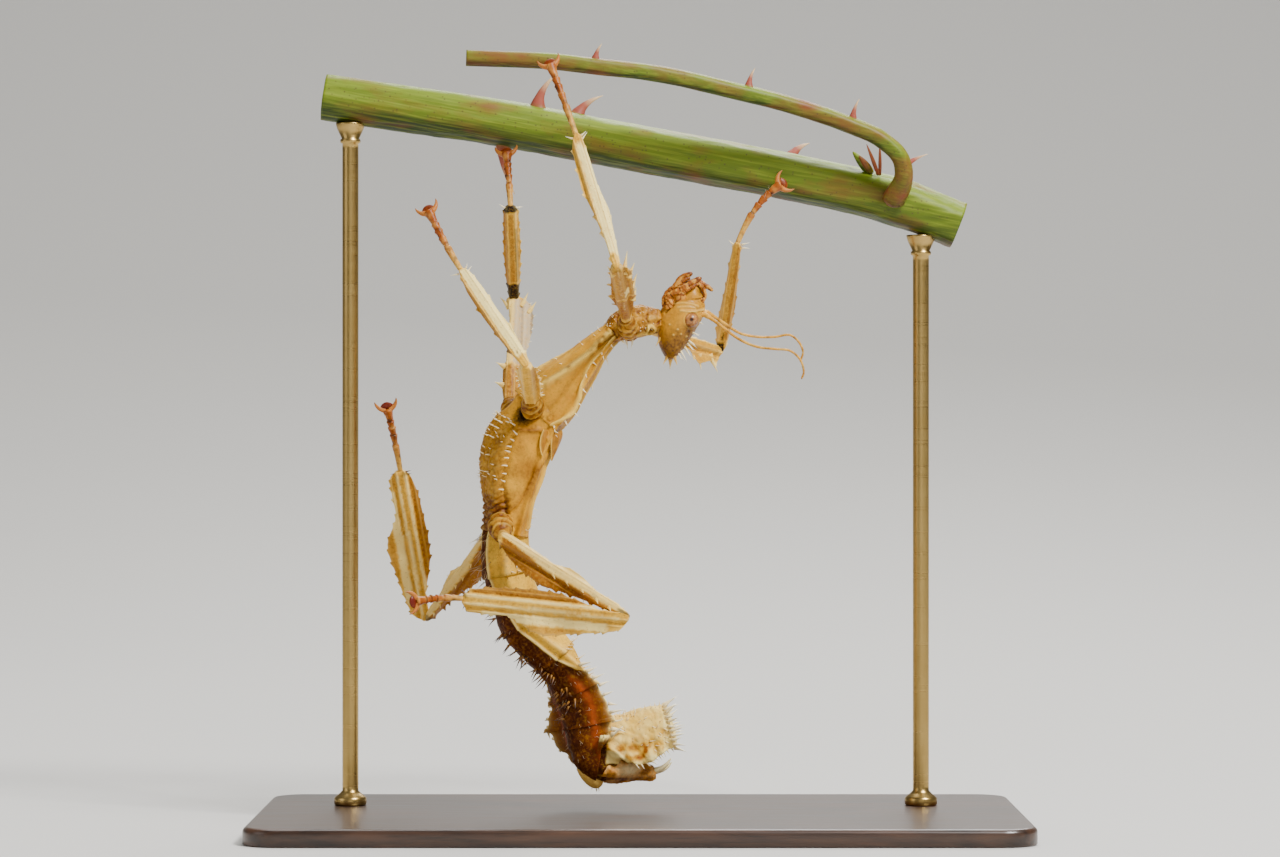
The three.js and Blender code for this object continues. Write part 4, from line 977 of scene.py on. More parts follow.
# Its dark belly colour is the underside's own dark brown and its painted shade, and the painted shadow under
# the tail.
abdomen_shell = cuticle(
    "abdomen cuticle", "#e8bb42", "#d09826", "#8c4c0c", "#f4dc8c", "#3e1c06", belly="#401803",
    flush="#8e3c0c", specks=0.5, shine=0.54, gloss=0.07,
)


def lobe_widths(rows):
    """How far the lobes stand out from the abdomen's left and right rims at the rows."""
    number = np.clip(np.searchsorted(RING_ROWS, rows, "right") - 1, 0, len(RING_LOBES) - 1)
    front, back = np.array(RING_LOBES)[number].T
    first, last = np.array(RING_ROWS)[number], np.array(RING_ROWS)[number + 1]
    lobe = front + (back - front) * rise(rows, first, last - first) ** 1.5
    lobe *= 1 + 0.16 * np.sin(rows * 9.0) * (lobe > 0.5)
    right = lobe * RIGHT_SPREAD + RIGHT_BULGE * bell(rows - 21.3, 0.9)
    tail = clamp(0.55 + 0.35 * np.sin(rows * 7.5)) * clamp(rows - TAIL_ROW)
    return np.where(rows > TAIL_ROW, tail, lobe), np.where(rows > TAIL_ROW, tail, right)


for number in range(2, 8):
    first, last = RING_ROWS[number - 2], RING_ROWS[number - 1]
    rows = np.arange(first - SLIPPED_IN, last + 0.02, ROW_STEP)
    share = rise(rows, first, last - first)
    lobe, right_lobe = lobe_widths(np.minimum(rows, last))
    rings = body_rings(rows, ABDOMEN_SECTION, (lobe, right_lobe))
    middle = rings.mean(1, keepdims=True)
    rings = middle + (rings - middle) * (0.97 + 0.05 * share ** 3)[:, None, None]
    normals = out_of(rings)
    fold = np.broadcast_to(fold_of(), rings.shape[:2])
    edge = np.interp(rows, *np.transpose(BELLY_EDGE))[:, None]
    belly = clamp((edge - fold) / 0.02)
    seam = bell(fold - edge - 0.015, 0.016) * rise(rows, 18.9, -0.5)[:, None]
    late = rise(rows, 18.8, 0.6)[:, None]
    stripe = both_sides(rings, ABDOMEN_SECTION, STRIPE_MARKS, 0.75) * rise(rows, 18.2, 0.5)[:, None]
    rim = bell(fold - 0.5, 0.04) * clamp(lobe / 0.8)[:, None]
    hind_edge = rise(share, 0.93, 0.06)[:, None]
    back_marks = [(row, 1.0) for row in np.arange(first, last + 0.3, 0.3)]
    keel = nearness(rings, on_shell(ABDOMEN_SECTION, back_marks, 1), 0.4)
    folds_across = np.sin(rows * 11.0 + 0.8 * grain(rings, 3.0, 20)[:, 0])[:, None] * (0.2 + 0.8 * belly)
    soft = grain(rings, 2.2, 21 + number)
    cloudy = grain(rings, 0.9, 81 + number)
    creases = wrinkle(rings, 1.3, 30 + number, 4.0) * (0.35 + 0.65 * belly) * (0.4 + 0.6 * (number == 2))
    height = 0.3 * seam + 0.12 * hind_edge + 0.22 * keel + 0.05 * folds_across + 0.09 * soft - 0.1 * creases
    height += 0.2 * stripe * late - 0.1 * belly
    rings += normals * height[..., None]
    # Painted light: behind row 18.8, the underside next to its pale fold is painted lighter orange brown
    # where it turns up to the light. Painted shade darkens the creases on the back.
    lit = rise(fold, 0.33, 0.1) * late * belly
    last_edge = rise(share[:, None], 0.97, 0.02) * (fold > 0.44) * (number == 7)
    masks = {
        "belly": belly * clamp(0.94 - 0.62 * lit - 0.4 * clamp(soft) - 0.2 * clamp(cloudy)),
        "crease": clamp(0.5 * creases * (1 - belly) + 0.3 * hind_edge * (1 - belly)),
        "crest": clamp(seam + 0.85 * rim + 0.4 * keel + 0.9 * last_edge),
        "flush": clamp(0.9 * stripe * late * (1 + 0.4 * cloudy)),
        "shade": clamp(0.12 + 0.3 * soft + 0.6 * lit + 0.85 * belly),
    }
    rings = tucked(rings, 0.86, 0.12)
    plate(f"abdomen_ring_{number}", rings, masks, abdomen_shell, "abdomen_plate", f"abdomen_{number}")

# ---- Tail
# The last three rings, grown together, curl up over the back. They make a pale roof, smudged brown, whose
# ragged eaves hang down on both sides; under it they are hollow, painted dark as painted shadow, and so is
# the root where they join the seventh ring.
TAIL_SECTION = [
    (0, -0.35), (0.45, -0.5), (0.85, -0.85), (1.0, -1.02), (1.08, -0.9), (1.0, -0.4), (0.88, 0.2),
    (0.62, 0.68), (0.3, 0.93), (0, 1),
]
TAIL_FRONT = 22.7
EAVES_FOLD = 0.34
TIP_STEPS = [(0.9, 0.25), (0.7, 0.5), (0.45, 0.6), (0.2, 0.62)]  # size, and millimetres past the last row

rows = np.arange(TAIL_FRONT, LAST_ROW + 0.001, ROW_STEP)
lobes = lobe_widths(np.maximum(rows, TAIL_ROW + 0.001))
roof = rise(rows - TAIL_ROW, 0.4, 0.8)[:, None, None]
rings = body_rings(rows, ABDOMEN_SECTION, lobes) * (1 - roof) + body_rings(rows, TAIL_SECTION, lobes) * roof
normals = out_of(rings)
fold = np.broadcast_to(fold_of(), rings.shape[:2])
soft = grain(rings, 2.0, 41)
smudges = clamp(1.9 * grain(rings, 2.0, 44) - 0.2) * bell(fold - 0.5, 0.16)
# Painted shadow: the underside of the roof and the root where the tail joins the seventh ring take the dark
# belly colour.
under_roof_shadow = rise(fold, 0.3, -0.03) * roof[..., 0]
x, z = rings[..., 0] + 0.3 * soft, rings[..., 2] + 0.3 * soft
root = np.maximum(rise(z, 11.4, -0.3) * (x < -3.4), rise(x, -5.5, -0.3) * (z < 16.6))
belly = np.maximum(0.9 * under_roof_shadow, root)
stain = np.exp(-(((x - 0.5) / 2.8) ** 2) - ((z - 13.8) / 1.6) ** 2)
smudges = clamp(smudges + stain * clamp(0.5 + 1.3 * grain(rings, 1.1, 49)))
rim = bell(fold - EAVES_FOLD, 0.05) * roof[..., 0]
height = 0.22 * soft + 0.16 * grain(rings, 0.8, 43) - 0.1 * wrinkle(rings, 1.2, 45, 4.0)
rings += normals * height[..., None]
middle = rings.mean(1, keepdims=True)
rings = middle + (rings - middle) * np.interp(rows, [TAIL_FRONT, 23.1], [0.84, 1.0])[:, None, None]
pale_parts = 0.6 * rim + 0.42 + 0.4 * soft + 0.6 * (z < 13.4) * (x < -2.5) + 0.5 * (x > 4.0)
masks = {
    "belly": belly, "crest": clamp(pale_parts - smudges) * (1 - belly), "shade": smudges,
    "crease": 0.08 * wrinkle(rings, 1.2, 45, 4.0),
}
centre = rings[-1].mean(0)
onward = body_frames(np.array([float(LAST_ROW)]))[1]
ends = [centre + (rings[-1] - centre) * size + onward * out for size, out in TIP_STEPS]
plate("tail_shell", np.vstack([rings, ends]), masks, abdomen_shell, "abdomen_plate", "abdomen_8_to_10")

# ---- Operculum
# Under the tail tip lies a keeled brown scoop with a painted highlight on its side, a small yellow spiny
# flap at its root and two long pale bristles at its tip.
OPERCULUM_LINE = [(-8.4, 1.2, 9.6), (-4.2, 1.2, 9.6), (-0.8, 1.1, 9.8), (2.75, 1.0, 9.2)]
SCOOP_SIZES = [  # share of the length, half height and half width
    (0, 1.9, 3.4), (0.3, 2.15, 4.3), (0.6, 1.95, 2.6), (0.85, 1.5, 1.5), (0.95, 1.15, 1.1), (1, 0.6, 0.5),
]
SCOOP_SIDES = 80
FLAP_SIDES = 30
BRISTLE_SIDES = 12
FLAP_LINE = [(-8.7, 0.4, 10.6), (-8.0, 0.3, 8.8), (-7.2, 0.2, 6.8)]
BRISTLE_LINES = [
    [(2.2, 0.9, 9.7), (3.6, 0.8, 10.2), (4.6, 0.6, 11.0), (5.3, 0.5, 11.9)],
    [(2.2, 1.2, 9.5), (3.9, 1.3, 9.9), (4.8, 1.3, 10.5), (5.4, 1.2, 11.2)],
]
operculum_shell = cuticle(
    "operculum cuticle", "#eaa23a", "#cc8428", "#80480e", "#f8e6b0", "#3a1c06", belly="#ecb428", specks=0.3,
)
line, ways, share = evenly(OPERCULUM_LINE, 0.09)
across, up = np.cos(turns(SCOOP_SIDES)), np.sin(turns(SCOOP_SIDES))
at, tall, wide = np.transpose(SCOOP_SIZES)
tall, wide = np.interp(share, at, tall)[:, None], np.interp(share, at, wide)[:, None]
keel = 0.35 * bell(turns(SCOOP_SIDES) - 1.5 * math.pi, 0.35)
rings = line[:, None] + np.stack([
    np.zeros((len(share), SCOOP_SIDES)), wide * across * (1 + 0.25 * up * (up < 0)),
    tall * up * np.where(up > 0, 1.15, 0.85) - keel * (share > 0.2)[:, None],
], -1)
soft = grain(rings, 1.4, 46)
rings += (rings - line[:, None]) * (0.1 * soft + 0.05 * grain(rings, 0.5, 47))[..., None]
# A painted highlight: a pale patch on the scoop's side.
painted_highlight = bell(np.linalg.norm((rings - [-1.6, -0.4, 10.0]) * [0.6, 0, 1], axis=-1), 1.0)
low_line = bell(rings[..., 2] - 8.5, 0.28) * rise(share, 0.8, -0.1)[:, None]
tubes = [(rings, {
    "crest": clamp(0.7 * painted_highlight + 0.4 * soft + 0.08),
    "shade": clamp(0.1 - painted_highlight - 1.1 * soft + 0.45 * low_line),
    "crease": clamp(0.4 * wrinkle(rings, 1.0, 48, 4.0) + 0.25 * low_line),
})]
line, ways, share = evenly(FLAP_LINE, 0.1)
flap = rings_round(line, ways, 2.3 * np.sqrt(np.clip(1 - share ** 2, 0.004, 1)), FLAP_SIDES)
tubes.append((line[:, None] + (flap - line[:, None]) * [1, 1.15, 0.6], {"belly": 0.85, "crest": 0.2}))
for bristle in BRISTLE_LINES:
    line, ways, share = evenly(bristle, 0.08)
    rings = rings_round(line, ways, 0.5 * (1 - share) ** 0.7 + 0.05, BRISTLE_SIDES)
    tubes.append((rings, {"crest": 1.0}))
settle(piece_from("operculum_scoop", tubes, operculum_shell), "belly_plate", "operculum")

# ---- Head
# A smooth tapering capsule that hangs crown down: satin tan at the face, with painted shade that deepens
# towards the crown, which hangs lowest, and lies below each eye and between the folds. Its face has three
# soft cross folds with a painted highlight on their tops, a rim round each eye and five pale pimples a side,
# and a cluster of cusps stands on its crown.
HEAD_ROWS = [  # x and z of the middle, half the depth from front to back and half the width
    (7.9, 90.0, 2.2, 2.0), (7.8, 89.7, 3.0, 2.5), (7.5, 88.8, 3.6, 2.9), (7.15, 87.6, 3.85, 3.2),
    (6.8, 86.4, 3.75, 3.3), (6.4, 85.1, 3.3, 3.2), (5.95, 83.7, 2.9, 3.0), (5.6, 82.2, 2.35, 2.6),
    (5.35, 81.0, 1.6, 2.0), (5.2, 80.0, 0.8, 1.1), (5.15, 79.75, 0.3, 0.4),
]
HEAD_RINGS = 128
HEAD_SIDES = 132
EYE_PLACE = np.array([8.62, 2.45, 86.4])
EYE_RADIUS = 1.28
FEELER_SOCKET = (10.4, 1.35, 87.5)
FOLD_LINES = [  # x and z along the face, and the height of the fold
    ([(5.9, 89.15), (7.6, 89.2), (9.0, 89.0), (9.8, 88.7)], 0.2),
    ([(6.4, 88.55), (7.8, 88.6), (9.3, 88.35)], 0.16),
    ([(6.9, 87.95), (8.4, 87.75), (9.9, 88.0), (10.8, 88.3)], 0.22),
]
CHEEK_LINE = [(4.3, 87.7), (4.9, 88.3), (5.6, 88.9), (6.0, 89.3)]
PIMPLES = [(6.35, 84.75), (5.64, 83.85), (6.9, 84.0), (7.9, 83.6), (5.0, 85.6)]


def on_face(marks, side):
    """Points on the head at (x, z) marks seen from the side, left where side is 1."""
    table = np.array(HEAD_ROWS)[::-1]
    x, z = np.array(marks, float).T
    middle, depth, width = (np.interp(z, table[:, 1], table[:, column]) for column in (0, 2, 3))
    return np.stack([x, -side * width * np.sqrt(np.clip(1 - ((x - middle) / depth) ** 2, 0.02, 1)), z], -1)


def near_marks(rings, marks, width):
    """nearness to a line of (x, z) marks on both sides of the head."""
    return np.maximum(*(nearness(rings, on_face(marks, side), width) for side in (1, -1)))


def near_point(points, place, width):
    """From 1 at a place to 0 away from it, over points."""
    return bell(np.linalg.norm(points - place, axis=-1), width)


def capsule(rows, count, sides):
    """A closed tube through rows like those of the head."""
    x, z, depth, width = np.hsplit(smooth_path(rows, np.linspace(0, len(rows) - 1, count), even=True), 4)
    angle = turns(sides)
    return np.stack([
        x + depth * np.cos(angle), width * np.sin(angle), np.broadcast_to(z, (count, sides)),
    ], -1)


def folded(points):
    """The points with those of her left side moved over to the same place on the right."""
    return np.abs(points * [0, 1, 0]) + points * [1, 0, 1]


head_shell = cuticle(
    "head cuticle", "#d09422", "#b07612", "#563208", "#e4bb5e", "#401c04", specks=0.12, shine=0.34,
)
rings = capsule(HEAD_ROWS, HEAD_RINGS, HEAD_SIDES)
normals = out_of(rings)
folds = sum(height * near_marks(rings, marks, 0.2) for marks, height in FOLD_LINES)
cheek = near_marks(rings, CHEEK_LINE, 0.22)
pimples = np.zeros(rings.shape[:2])
for mark in PIMPLES:
    for side in (1, -1):
        pimples = np.maximum(pimples, near_point(rings, on_face([mark], side)[0], 0.16))
mirrored = folded(rings)
eye_rim = bell(np.linalg.norm(mirrored - EYE_PLACE, axis=-1) - EYE_RADIUS - 0.16, 0.17)
socket_rim = bell(np.linalg.norm(mirrored - FEELER_SOCKET, axis=-1) - 0.62, 0.16)
brow_groove = near_marks(rings, [(8.6, 85.2), (8.1, 84.3), (7.4, 83.2), (6.6, 82.0)], 0.4)
mid_groove = nearness(rings, [(11.2, 0, 88.0), (10.6, 0, 86.6), (9.6, 0, 84.8)], 0.35)
cheek_groove = near_marks(rings, [(4.1, 85.6), (5.2, 86.6), (6.3, 87.2), (7.4, 87.2)], 0.45)
soft = grain(mirrored, 2.0, 51)
height = folds - 0.3 * cheek + 0.22 * pimples + 0.16 * eye_rim + 0.16 * socket_rim - 0.12 * brow_groove
height += 0.07 * soft + 0.035 * grain(rings, 0.6, 52) - 0.18 * mid_groove - 0.07 * cheek_groove
rings += normals * height[..., None]
# Painted shade: darker towards the crown, which hangs lowest, below each eye, between the folds and in the
# cheek groove; a painted highlight on the tops of the folds.
crown_shade = clamp((85.6 + 0.35 * (rings[..., 0] - 6) - rings[..., 2]) / 3.4) ** 0.8
shade_below_eye = near_point(mirrored, [8.6, 2.5, 84.9], 1.4)
shade_between_folds = near_marks(rings, [(9.4, 88.35), (10.4, 88.05)], 0.3)
masks = {
    "shade": clamp(0.72 * crown_shade + 0.3 * shade_below_eye + 0.5 * shade_between_folds + 0.1 + 0.16 * soft),
    "crest": clamp(0.85 * pimples + 0.5 * folds / 0.2 + 0.2 * eye_rim + 0.3 * socket_rim),
    "crease": clamp(0.7 * cheek + 0.35 * clamp(0.35 - folds / 0.2) * (rings[..., 2] > 88.2)),
}
head_tubes = [(rings, masks)]
CROWN_CUSPS = [  # root, tip and radius; one each side, or one in the middle where y is 0
    ((4.9, 0.6, 80.6), (3.9, 0.9, 78.9), 0.5), ((5.2, 0, 80.5), (5.1, 0, 78.1), 0.62),
    ((5.7, 0.6, 80.7), (6.3, 0.9, 78.8), 0.5), ((3.5, 1.3, 83.4), (2.7, 1.6, 82.0), 0.3),
]


def cusp(root, tip, radius, sides=14):
    """A hollow-sided cone from root to tip, its masks growing pale towards the tip."""
    root, tip = np.array(root, float), np.array(tip, float)
    share = np.array([0, 0.1, 0.22, 0.38, 0.55, 0.72, 0.86, 0.95, 1.0])
    line = root + (tip - root) * share[:, None]
    ways = np.tile((tip - root) / np.linalg.norm(tip - root), (len(share), 1))
    rings = rings_round(line, ways, radius * (1 - share) ** 1.4 + 0.035, sides, (0.31, 0.2, 0.93))
    return rings, {"crest": 0.3 + 0.6 * share[:, None], "shade": 0.2}


for root, tip, radius in CROWN_CUSPS:
    for side in ((1, -1) if root[1] else (1,)):
        head_tubes.append(cusp(np.multiply(root, (1, side, 1)), np.multiply(tip, (1, side, 1)), radius))
settle(piece_from("head_capsule", head_tubes, head_shell), "straw_plate", "head")

# ---- Eyes
# Small domes of facets, pinkish brown and a little glossy, set in the rims of the capsule. A dark spot
# lies at the middle of each, and painted shade darkens each dome towards its edge.
EYE_RINGS = 48
EYE_SIDES = 64
eye_shell = blank_material("eye lens")
tree = eye_shell.node_tree
at = add(tree, "ShaderNodeTexCoord").outputs["Object"]
# The real facets are 0.03 mm across; here they are 0.07 mm, or they would not be drawn at all.
facets = add(tree, "ShaderNodeTexVoronoi", {"Vector": at, "Scale": 14000.0})
cloudy = add(tree, "ShaderNodeTexNoise", {"Vector": at, "Scale": 2200.0, "Detail": 3.0})
eye_ramp = add(tree, "ShaderNodeValToRGB", {"Fac": cloudy.outputs["Fac"]})
eye_colour = coloured(eye_ramp, (0.35, "#8e5526"), (0.65, "#bb8248"))
# The edge colour is painted shade that deepens towards the rim of the dome.
for mask, tint in (("edge", "#70401a"), ("spot", "#2c1206")):
    level = add(tree, "ShaderNodeAttribute", attribute_name=mask)
    eye_colour = add(tree, "ShaderNodeMix", {
        "Factor": level.outputs["Fac"], 6: eye_colour, 7: linear(tint),
    }, data_type="RGBA").outputs[2]
facet_bump = add(tree, "ShaderNodeBump", {
    "Height": facets.outputs["Distance"], "Strength": 0.25, "Distance": 0.00002,
})
surface(
    eye_shell, Base_Color=eye_colour, Roughness=0.34, Normal=facet_bump.outputs[0], Specular_IOR_Level=0.3,
    Coat_Weight=0.25, Coat_Roughness=0.18, Subsurface_Weight=0.1, Subsurface_Scale=0.0004,
)
for side, word in ((-1, "left"), (1, "right")):
    centre = EYE_PLACE * [1, side, 1]
    outward = np.array([0.1, side, 0.03])
    outward /= np.linalg.norm(outward)
    tilt = np.linspace(0.03, math.pi - 0.03, EYE_RINGS)
    line = centre + outward * (np.cos(tilt) * EYE_RADIUS)[:, None]
    radii = np.sin(tilt) * EYE_RADIUS * 1.02
    rings = rings_round(line, np.tile(outward, (EYE_RINGS, 1)), radii, EYE_SIDES, (0, 0, 1))
    # edge is the painted shade towards the rim of the dome.
    masks = {
        "spot": np.exp(-((tilt / 0.3) ** 4))[:, None], "edge": np.clip((tilt - 0.75) / 0.5, 0, 0.9)[:, None],
    }
    settle(piece_from(f"eye_lens_{word}", [(rings, masks)], eye_shell), "eye", f"eye_{word}")

# ---- Mouthparts
# Over the mouth lies a smooth domed lip, hollowed at its middle, with painted shade in the hollow and along
# the seam across it. Behind it are rust-coloured jaws and a lobed lower lip, with three pairs of short
# jointed feelers that curl forwards over the dome.
LIP_RINGS = 70
LIP_SIDES = 110
LIP_ROWS = [  # like those of the head
    (8.0, 88.9, 2.9, 2.3), (8.2, 89.6, 2.75, 2.25), (8.5, 90.4, 2.55, 2.1), (8.75, 91.2, 2.1, 1.85),
    (8.95, 91.9, 1.5, 1.45), (9.05, 92.35, 0.85, 0.9), (9.05, 92.5, 0.3, 0.35),
]
rings = capsule(LIP_ROWS, LIP_RINGS, LIP_SIDES)
mirrored = folded(rings)
hollow = near_point(mirrored, [10.3, 1.0, 91.2], 0.8)
seam = bell(rings[..., 2] - 89.75 - 0.12 * (rings[..., 0] - 8.5), 0.13)
notch = bell(np.linalg.norm((rings - [11.0, 0, 91.5]) * [1, 1, 0.6], axis=-1), 0.6)
height = -0.34 * hollow - 0.2 * seam - 0.3 * notch + 0.05 * grain(mirrored, 1.2, 55)
rings += out_of(rings) * height[..., None]
# Painted shade in the hollow and along the seam.
masks = {"shade": clamp(0.62 * hollow + 0.1), "crease": 0.55 * seam, "crest": 0.0}
settle(piece_from("upper_lip", [(rings, masks)], head_shell), "straw_plate")

rusty_shell = cuticle(
    "rusty cuticle", "#c67a1c", "#a0530e", "#5c2406", "#e2a544", "#341204", specks=0.1, shine=0.4,
)
FEELERS = [  # the line on the left side, first and last radius; each has a twin on the right
    ([
        (4.5, -1.5, 89.4), (5.05, -1.9, 90.6), (6.2, -2.25, 91.2), (7.3, -2.25, 91.7), (8.9, -1.9, 92.8),
        (10.4, -1.6, 93.6),
    ], 0.62, 0.46),
    ([
        (5.4, -0.8, 90.4), (5.6, -1.0, 91.4), (6.2, -1.1, 92.5), (7.0, -1.2, 93.6), (8.9, -1.3, 94.4),
    ], 0.56, 0.42),
    ([(7.8, -0.5, 92.0), (9.5, -0.5, 93.0), (11.3, -0.45, 92.2), (12.4, -0.4, 91.4)], 0.52, 0.36),
    ([(6.3, -1.9, 89.9), (7.2, -2.35, 90.9), (8.5, -2.3, 91.8), (9.8, -1.9, 92.6)], 0.42, 0.3),
    ([(5.0, -1.2, 90.9), (5.9, -1.7, 92.1), (7.2, -1.75, 93.0), (8.5, -1.5, 93.6)], 0.46, 0.34),
    ([(4.3, -1.0, 88.8), (4.1, -1.3, 90.0), (4.8, -1.4, 91.3), (5.9, -1.3, 92.2)], 0.46, 0.36),
    ([(9.3, -0.9, 92.7), (10.45, -0.9, 92.2), (10.95, -0.85, 91.1), (11.0, -0.8, 89.9)], 0.42, 0.34),
]
LOBES = [  # root, tip and radius of the swollen lobes of the jaws and lower lip, on the left side
    ((5.3, -0.9, 88.6), (5.1, -1.2, 91.0), 0.9), ((4.5, -0.9, 88.3), (4.2, -1.2, 90.0), 0.7),
    ((6.6, -1.5, 89.0), (7.0, -1.6, 91.9), 1.05), ((6.0, -0.7, 90.4), (7.6, -1.0, 93.2), 1.0),
    ((7.4, -0.8, 91.4), (9.4, -0.9, 93.0), 0.85), ((4.4, -1.4, 88.2), (5.6, -1.9, 89.9), 0.8),
    ((10.2, -0.9, 89.2), (10.9, -0.7, 90.2), 0.5), ((7.6, -0.4, 91.4), (8.3, -0.3, 93.1), 0.6),
]
FEELER_SIDES = 22
LOBE_SIDES = 30
JAW_AXIS = (0.2, 0.3, 0.93)  # what the rings of the feelers and lobes are turned by
jaw_tubes = []
for points, first, last in FEELERS:
    for side in (1, -1):
        line, ways, share = evenly(np.multiply(points, (1, side, 1)), 0.1)
        joint = np.abs(np.sin(share * math.pi * 4.5))
        swell = (first + (last - first) * share) * (0.86 + 0.16 * joint ** 0.5)
        swell *= np.sqrt(np.clip((1.02 - share) * 9, 0.03, 1))
        rings = rings_round(line, ways, swell, FEELER_SIDES, JAW_AXIS)
        rings += (rings - line[:, None]) * (0.12 * grain(rings, 0.5, 57))[..., None]
        fine_rings = 0.4 * (np.sin(share * 90) > 0.4)[:, None]
        jaw_tubes.append((rings, {
            "crease": clamp(0.8 * (0.35 - joint[:, None]) / 0.35) + fine_rings,
            "shade": (0.2 + 0.4 * share ** 2)[:, None], "crest": 0.55 * (grain(rings, 0.7, 58) > 0.1),
        }))
for root, tip, radius in LOBES:
    bulge = np.add(root, tip) / 2 + (0, -0.15, 0.05)
    for side in (1, -1):
        line, ways, share = evenly([np.multiply(point, (1, side, 1)) for point in (root, bulge, tip)], 0.07)
        swell = radius * np.sqrt(np.clip(1 - (2 * share - 1) ** 2, 0.02, 1)) ** 0.8
        rings = rings_round(line, ways, swell, LOBE_SIDES, JAW_AXIS)
        rings += (rings - line[:, None]) * (0.2 * grain(rings, 0.7, 59))[..., None]
        folds = wrinkle(rings, 0.8, 60, 4.0)
        jaw_tubes.append((rings, {"crease": 0.85 * folds, "shade": 0.3, "crest": 0.5 * (folds < 0.05)}))
settle(piece_from("jaws_and_feelers", jaw_tubes, rusty_shell), "rusty_plate", "mouthparts")

# ---- Antennae
# A thick first joint, a short second one, and a fine golden whip of some forty joints that turns down at
# its tip. Each joint is slightly waisted, dark at its end, and every fifth one is darker.
ANTENNA_LINES = {
    "left": [
        (10.2, -1.25, 87.5), (11.2, -1.4, 87.2), (13.9, -3, 85.2), (16.9, -4.5, 83.0), (19.7, -5.5, 81.8),
        (22.8, -6, 81.4), (25.3, -6, 81.1), (27.0, -6, 79.6), (27.6, -6, 77.5), (27.2, -6, 76.3),
    ],
    "right": [
        (10.2, 1.25, 87.6), (11.2, 1.4, 87.8), (14.0, 3, 86.2), (17.1, 4, 84.3), (20.0, 4.5, 83.7),
        (23.1, 5, 83.7), (25.7, 5, 84.0), (27.2, 5, 82.8), (27.9, 5, 81.1), (27.4, 5, 79.4),
    ],
}
ANTENNA_JOINTS = 42
ANTENNA_SIDES = 14
WHIP_FROM = 0.11  # of the length, past the two thicker joints
antenna_shell = cuticle(
    "antenna cuticle", "#e0a636", "#c2811a", "#6e3c0a", "#ecc868", "#5a2a08", specks=0.2, shine=0.4,
)
for word, points in ANTENNA_LINES.items():
    line, ways, share = evenly(points, 0.07)
    whip = rise(share, WHIP_FROM, 1 - WHIP_FROM)
    joint = np.abs(np.sin(whip * math.pi * ANTENNA_JOINTS)) ** 0.5
    radii = 0.28 - 0.1 * whip ** 0.8
    radii = np.where(share < 0.075, 0.5, np.where(share < WHIP_FROM, 0.37, radii)) * (0.9 + 0.12 * joint)
    radii = np.convolve(np.pad(radii, 3, "edge"), np.ones(7) / 7, "valid")
    radii *= np.sqrt(np.clip((1.001 - share) * 60, 0.05, 1))
    rings = rings_round(line, ways, radii, ANTENNA_SIDES, (0, 0, 1))
    banded = 0.45 * (np.sin(whip * math.pi * ANTENNA_JOINTS / 5) ** 8)
    masks = {
        "crease": (0.55 * (joint < 0.3) * (whip > 0))[:, None], "crest": 0.3 * (grain(rings, 0.8, 61) > 0.2),
        "shade": (banded + 0.35 * (share > 0.9))[:, None],
    }
    settle(piece_from(f"antenna_whip_{word}", [(rings, masks)], antenna_shell), "antenna", f"antenna_{word}")

# ---- Legs
# Six legs, each a wrinkled hip joint, a thigh and a shin. Thigh and shin are thin leaf-like blades with a
# thick middle, two lengthwise ridges on each face and saw-toothed rims. Their faces are straw, cream and
# orange brown, with black marks round the knees.
STEP_LINE = [  # where the step between the hind thigh's two faces runs
    (0, 0.3), (0.08, 0.2), (0.22, -0.15), (0.41, -0.85), (0.53, -0.6), (0.7, -0.4), (0.85, -0.5), (1, -0.2),
]
HIND_THIGH = {
    "first": [  # shares of the length, and the width from the middle line to the first rim
        (0, 1.05), (0.09, 1.2), (0.25, 1.1), (0.41, 0.85), (0.53, 1.7), (0.62, 1.5), (0.73, 0.8),
        (0.88, 0.9), (1, 0.5),
    ],
    "second": [
        (0, 0.8), (0.12, 2.4), (0.22, 2.9), (0.42, 3.4), (0.54, 2.5), (0.73, 1.5), (0.9, 1.0), (1, 0.6),
    ],
    "teeth": (5, 0.15, 9, 0.6),  # how many the first rim bears and their height, then the second's
    "black_tips": True,
    "tones": [  # a mask, a band across from the second rim to the first, a band along, and a level
        ("shade", -9, STEP_LINE, 0.02, 0.97, 0.95), ("crest", STEP_LINE, 9, 0.0, 1.0, 0.5),
        ("crease", [(0, 0.3), (1, -0.9)], STEP_LINE, 0.02, 0.9, 0.08), ("flush", -1.6, 0.5, 0.93, 1.1, 0.8),
    ],
}
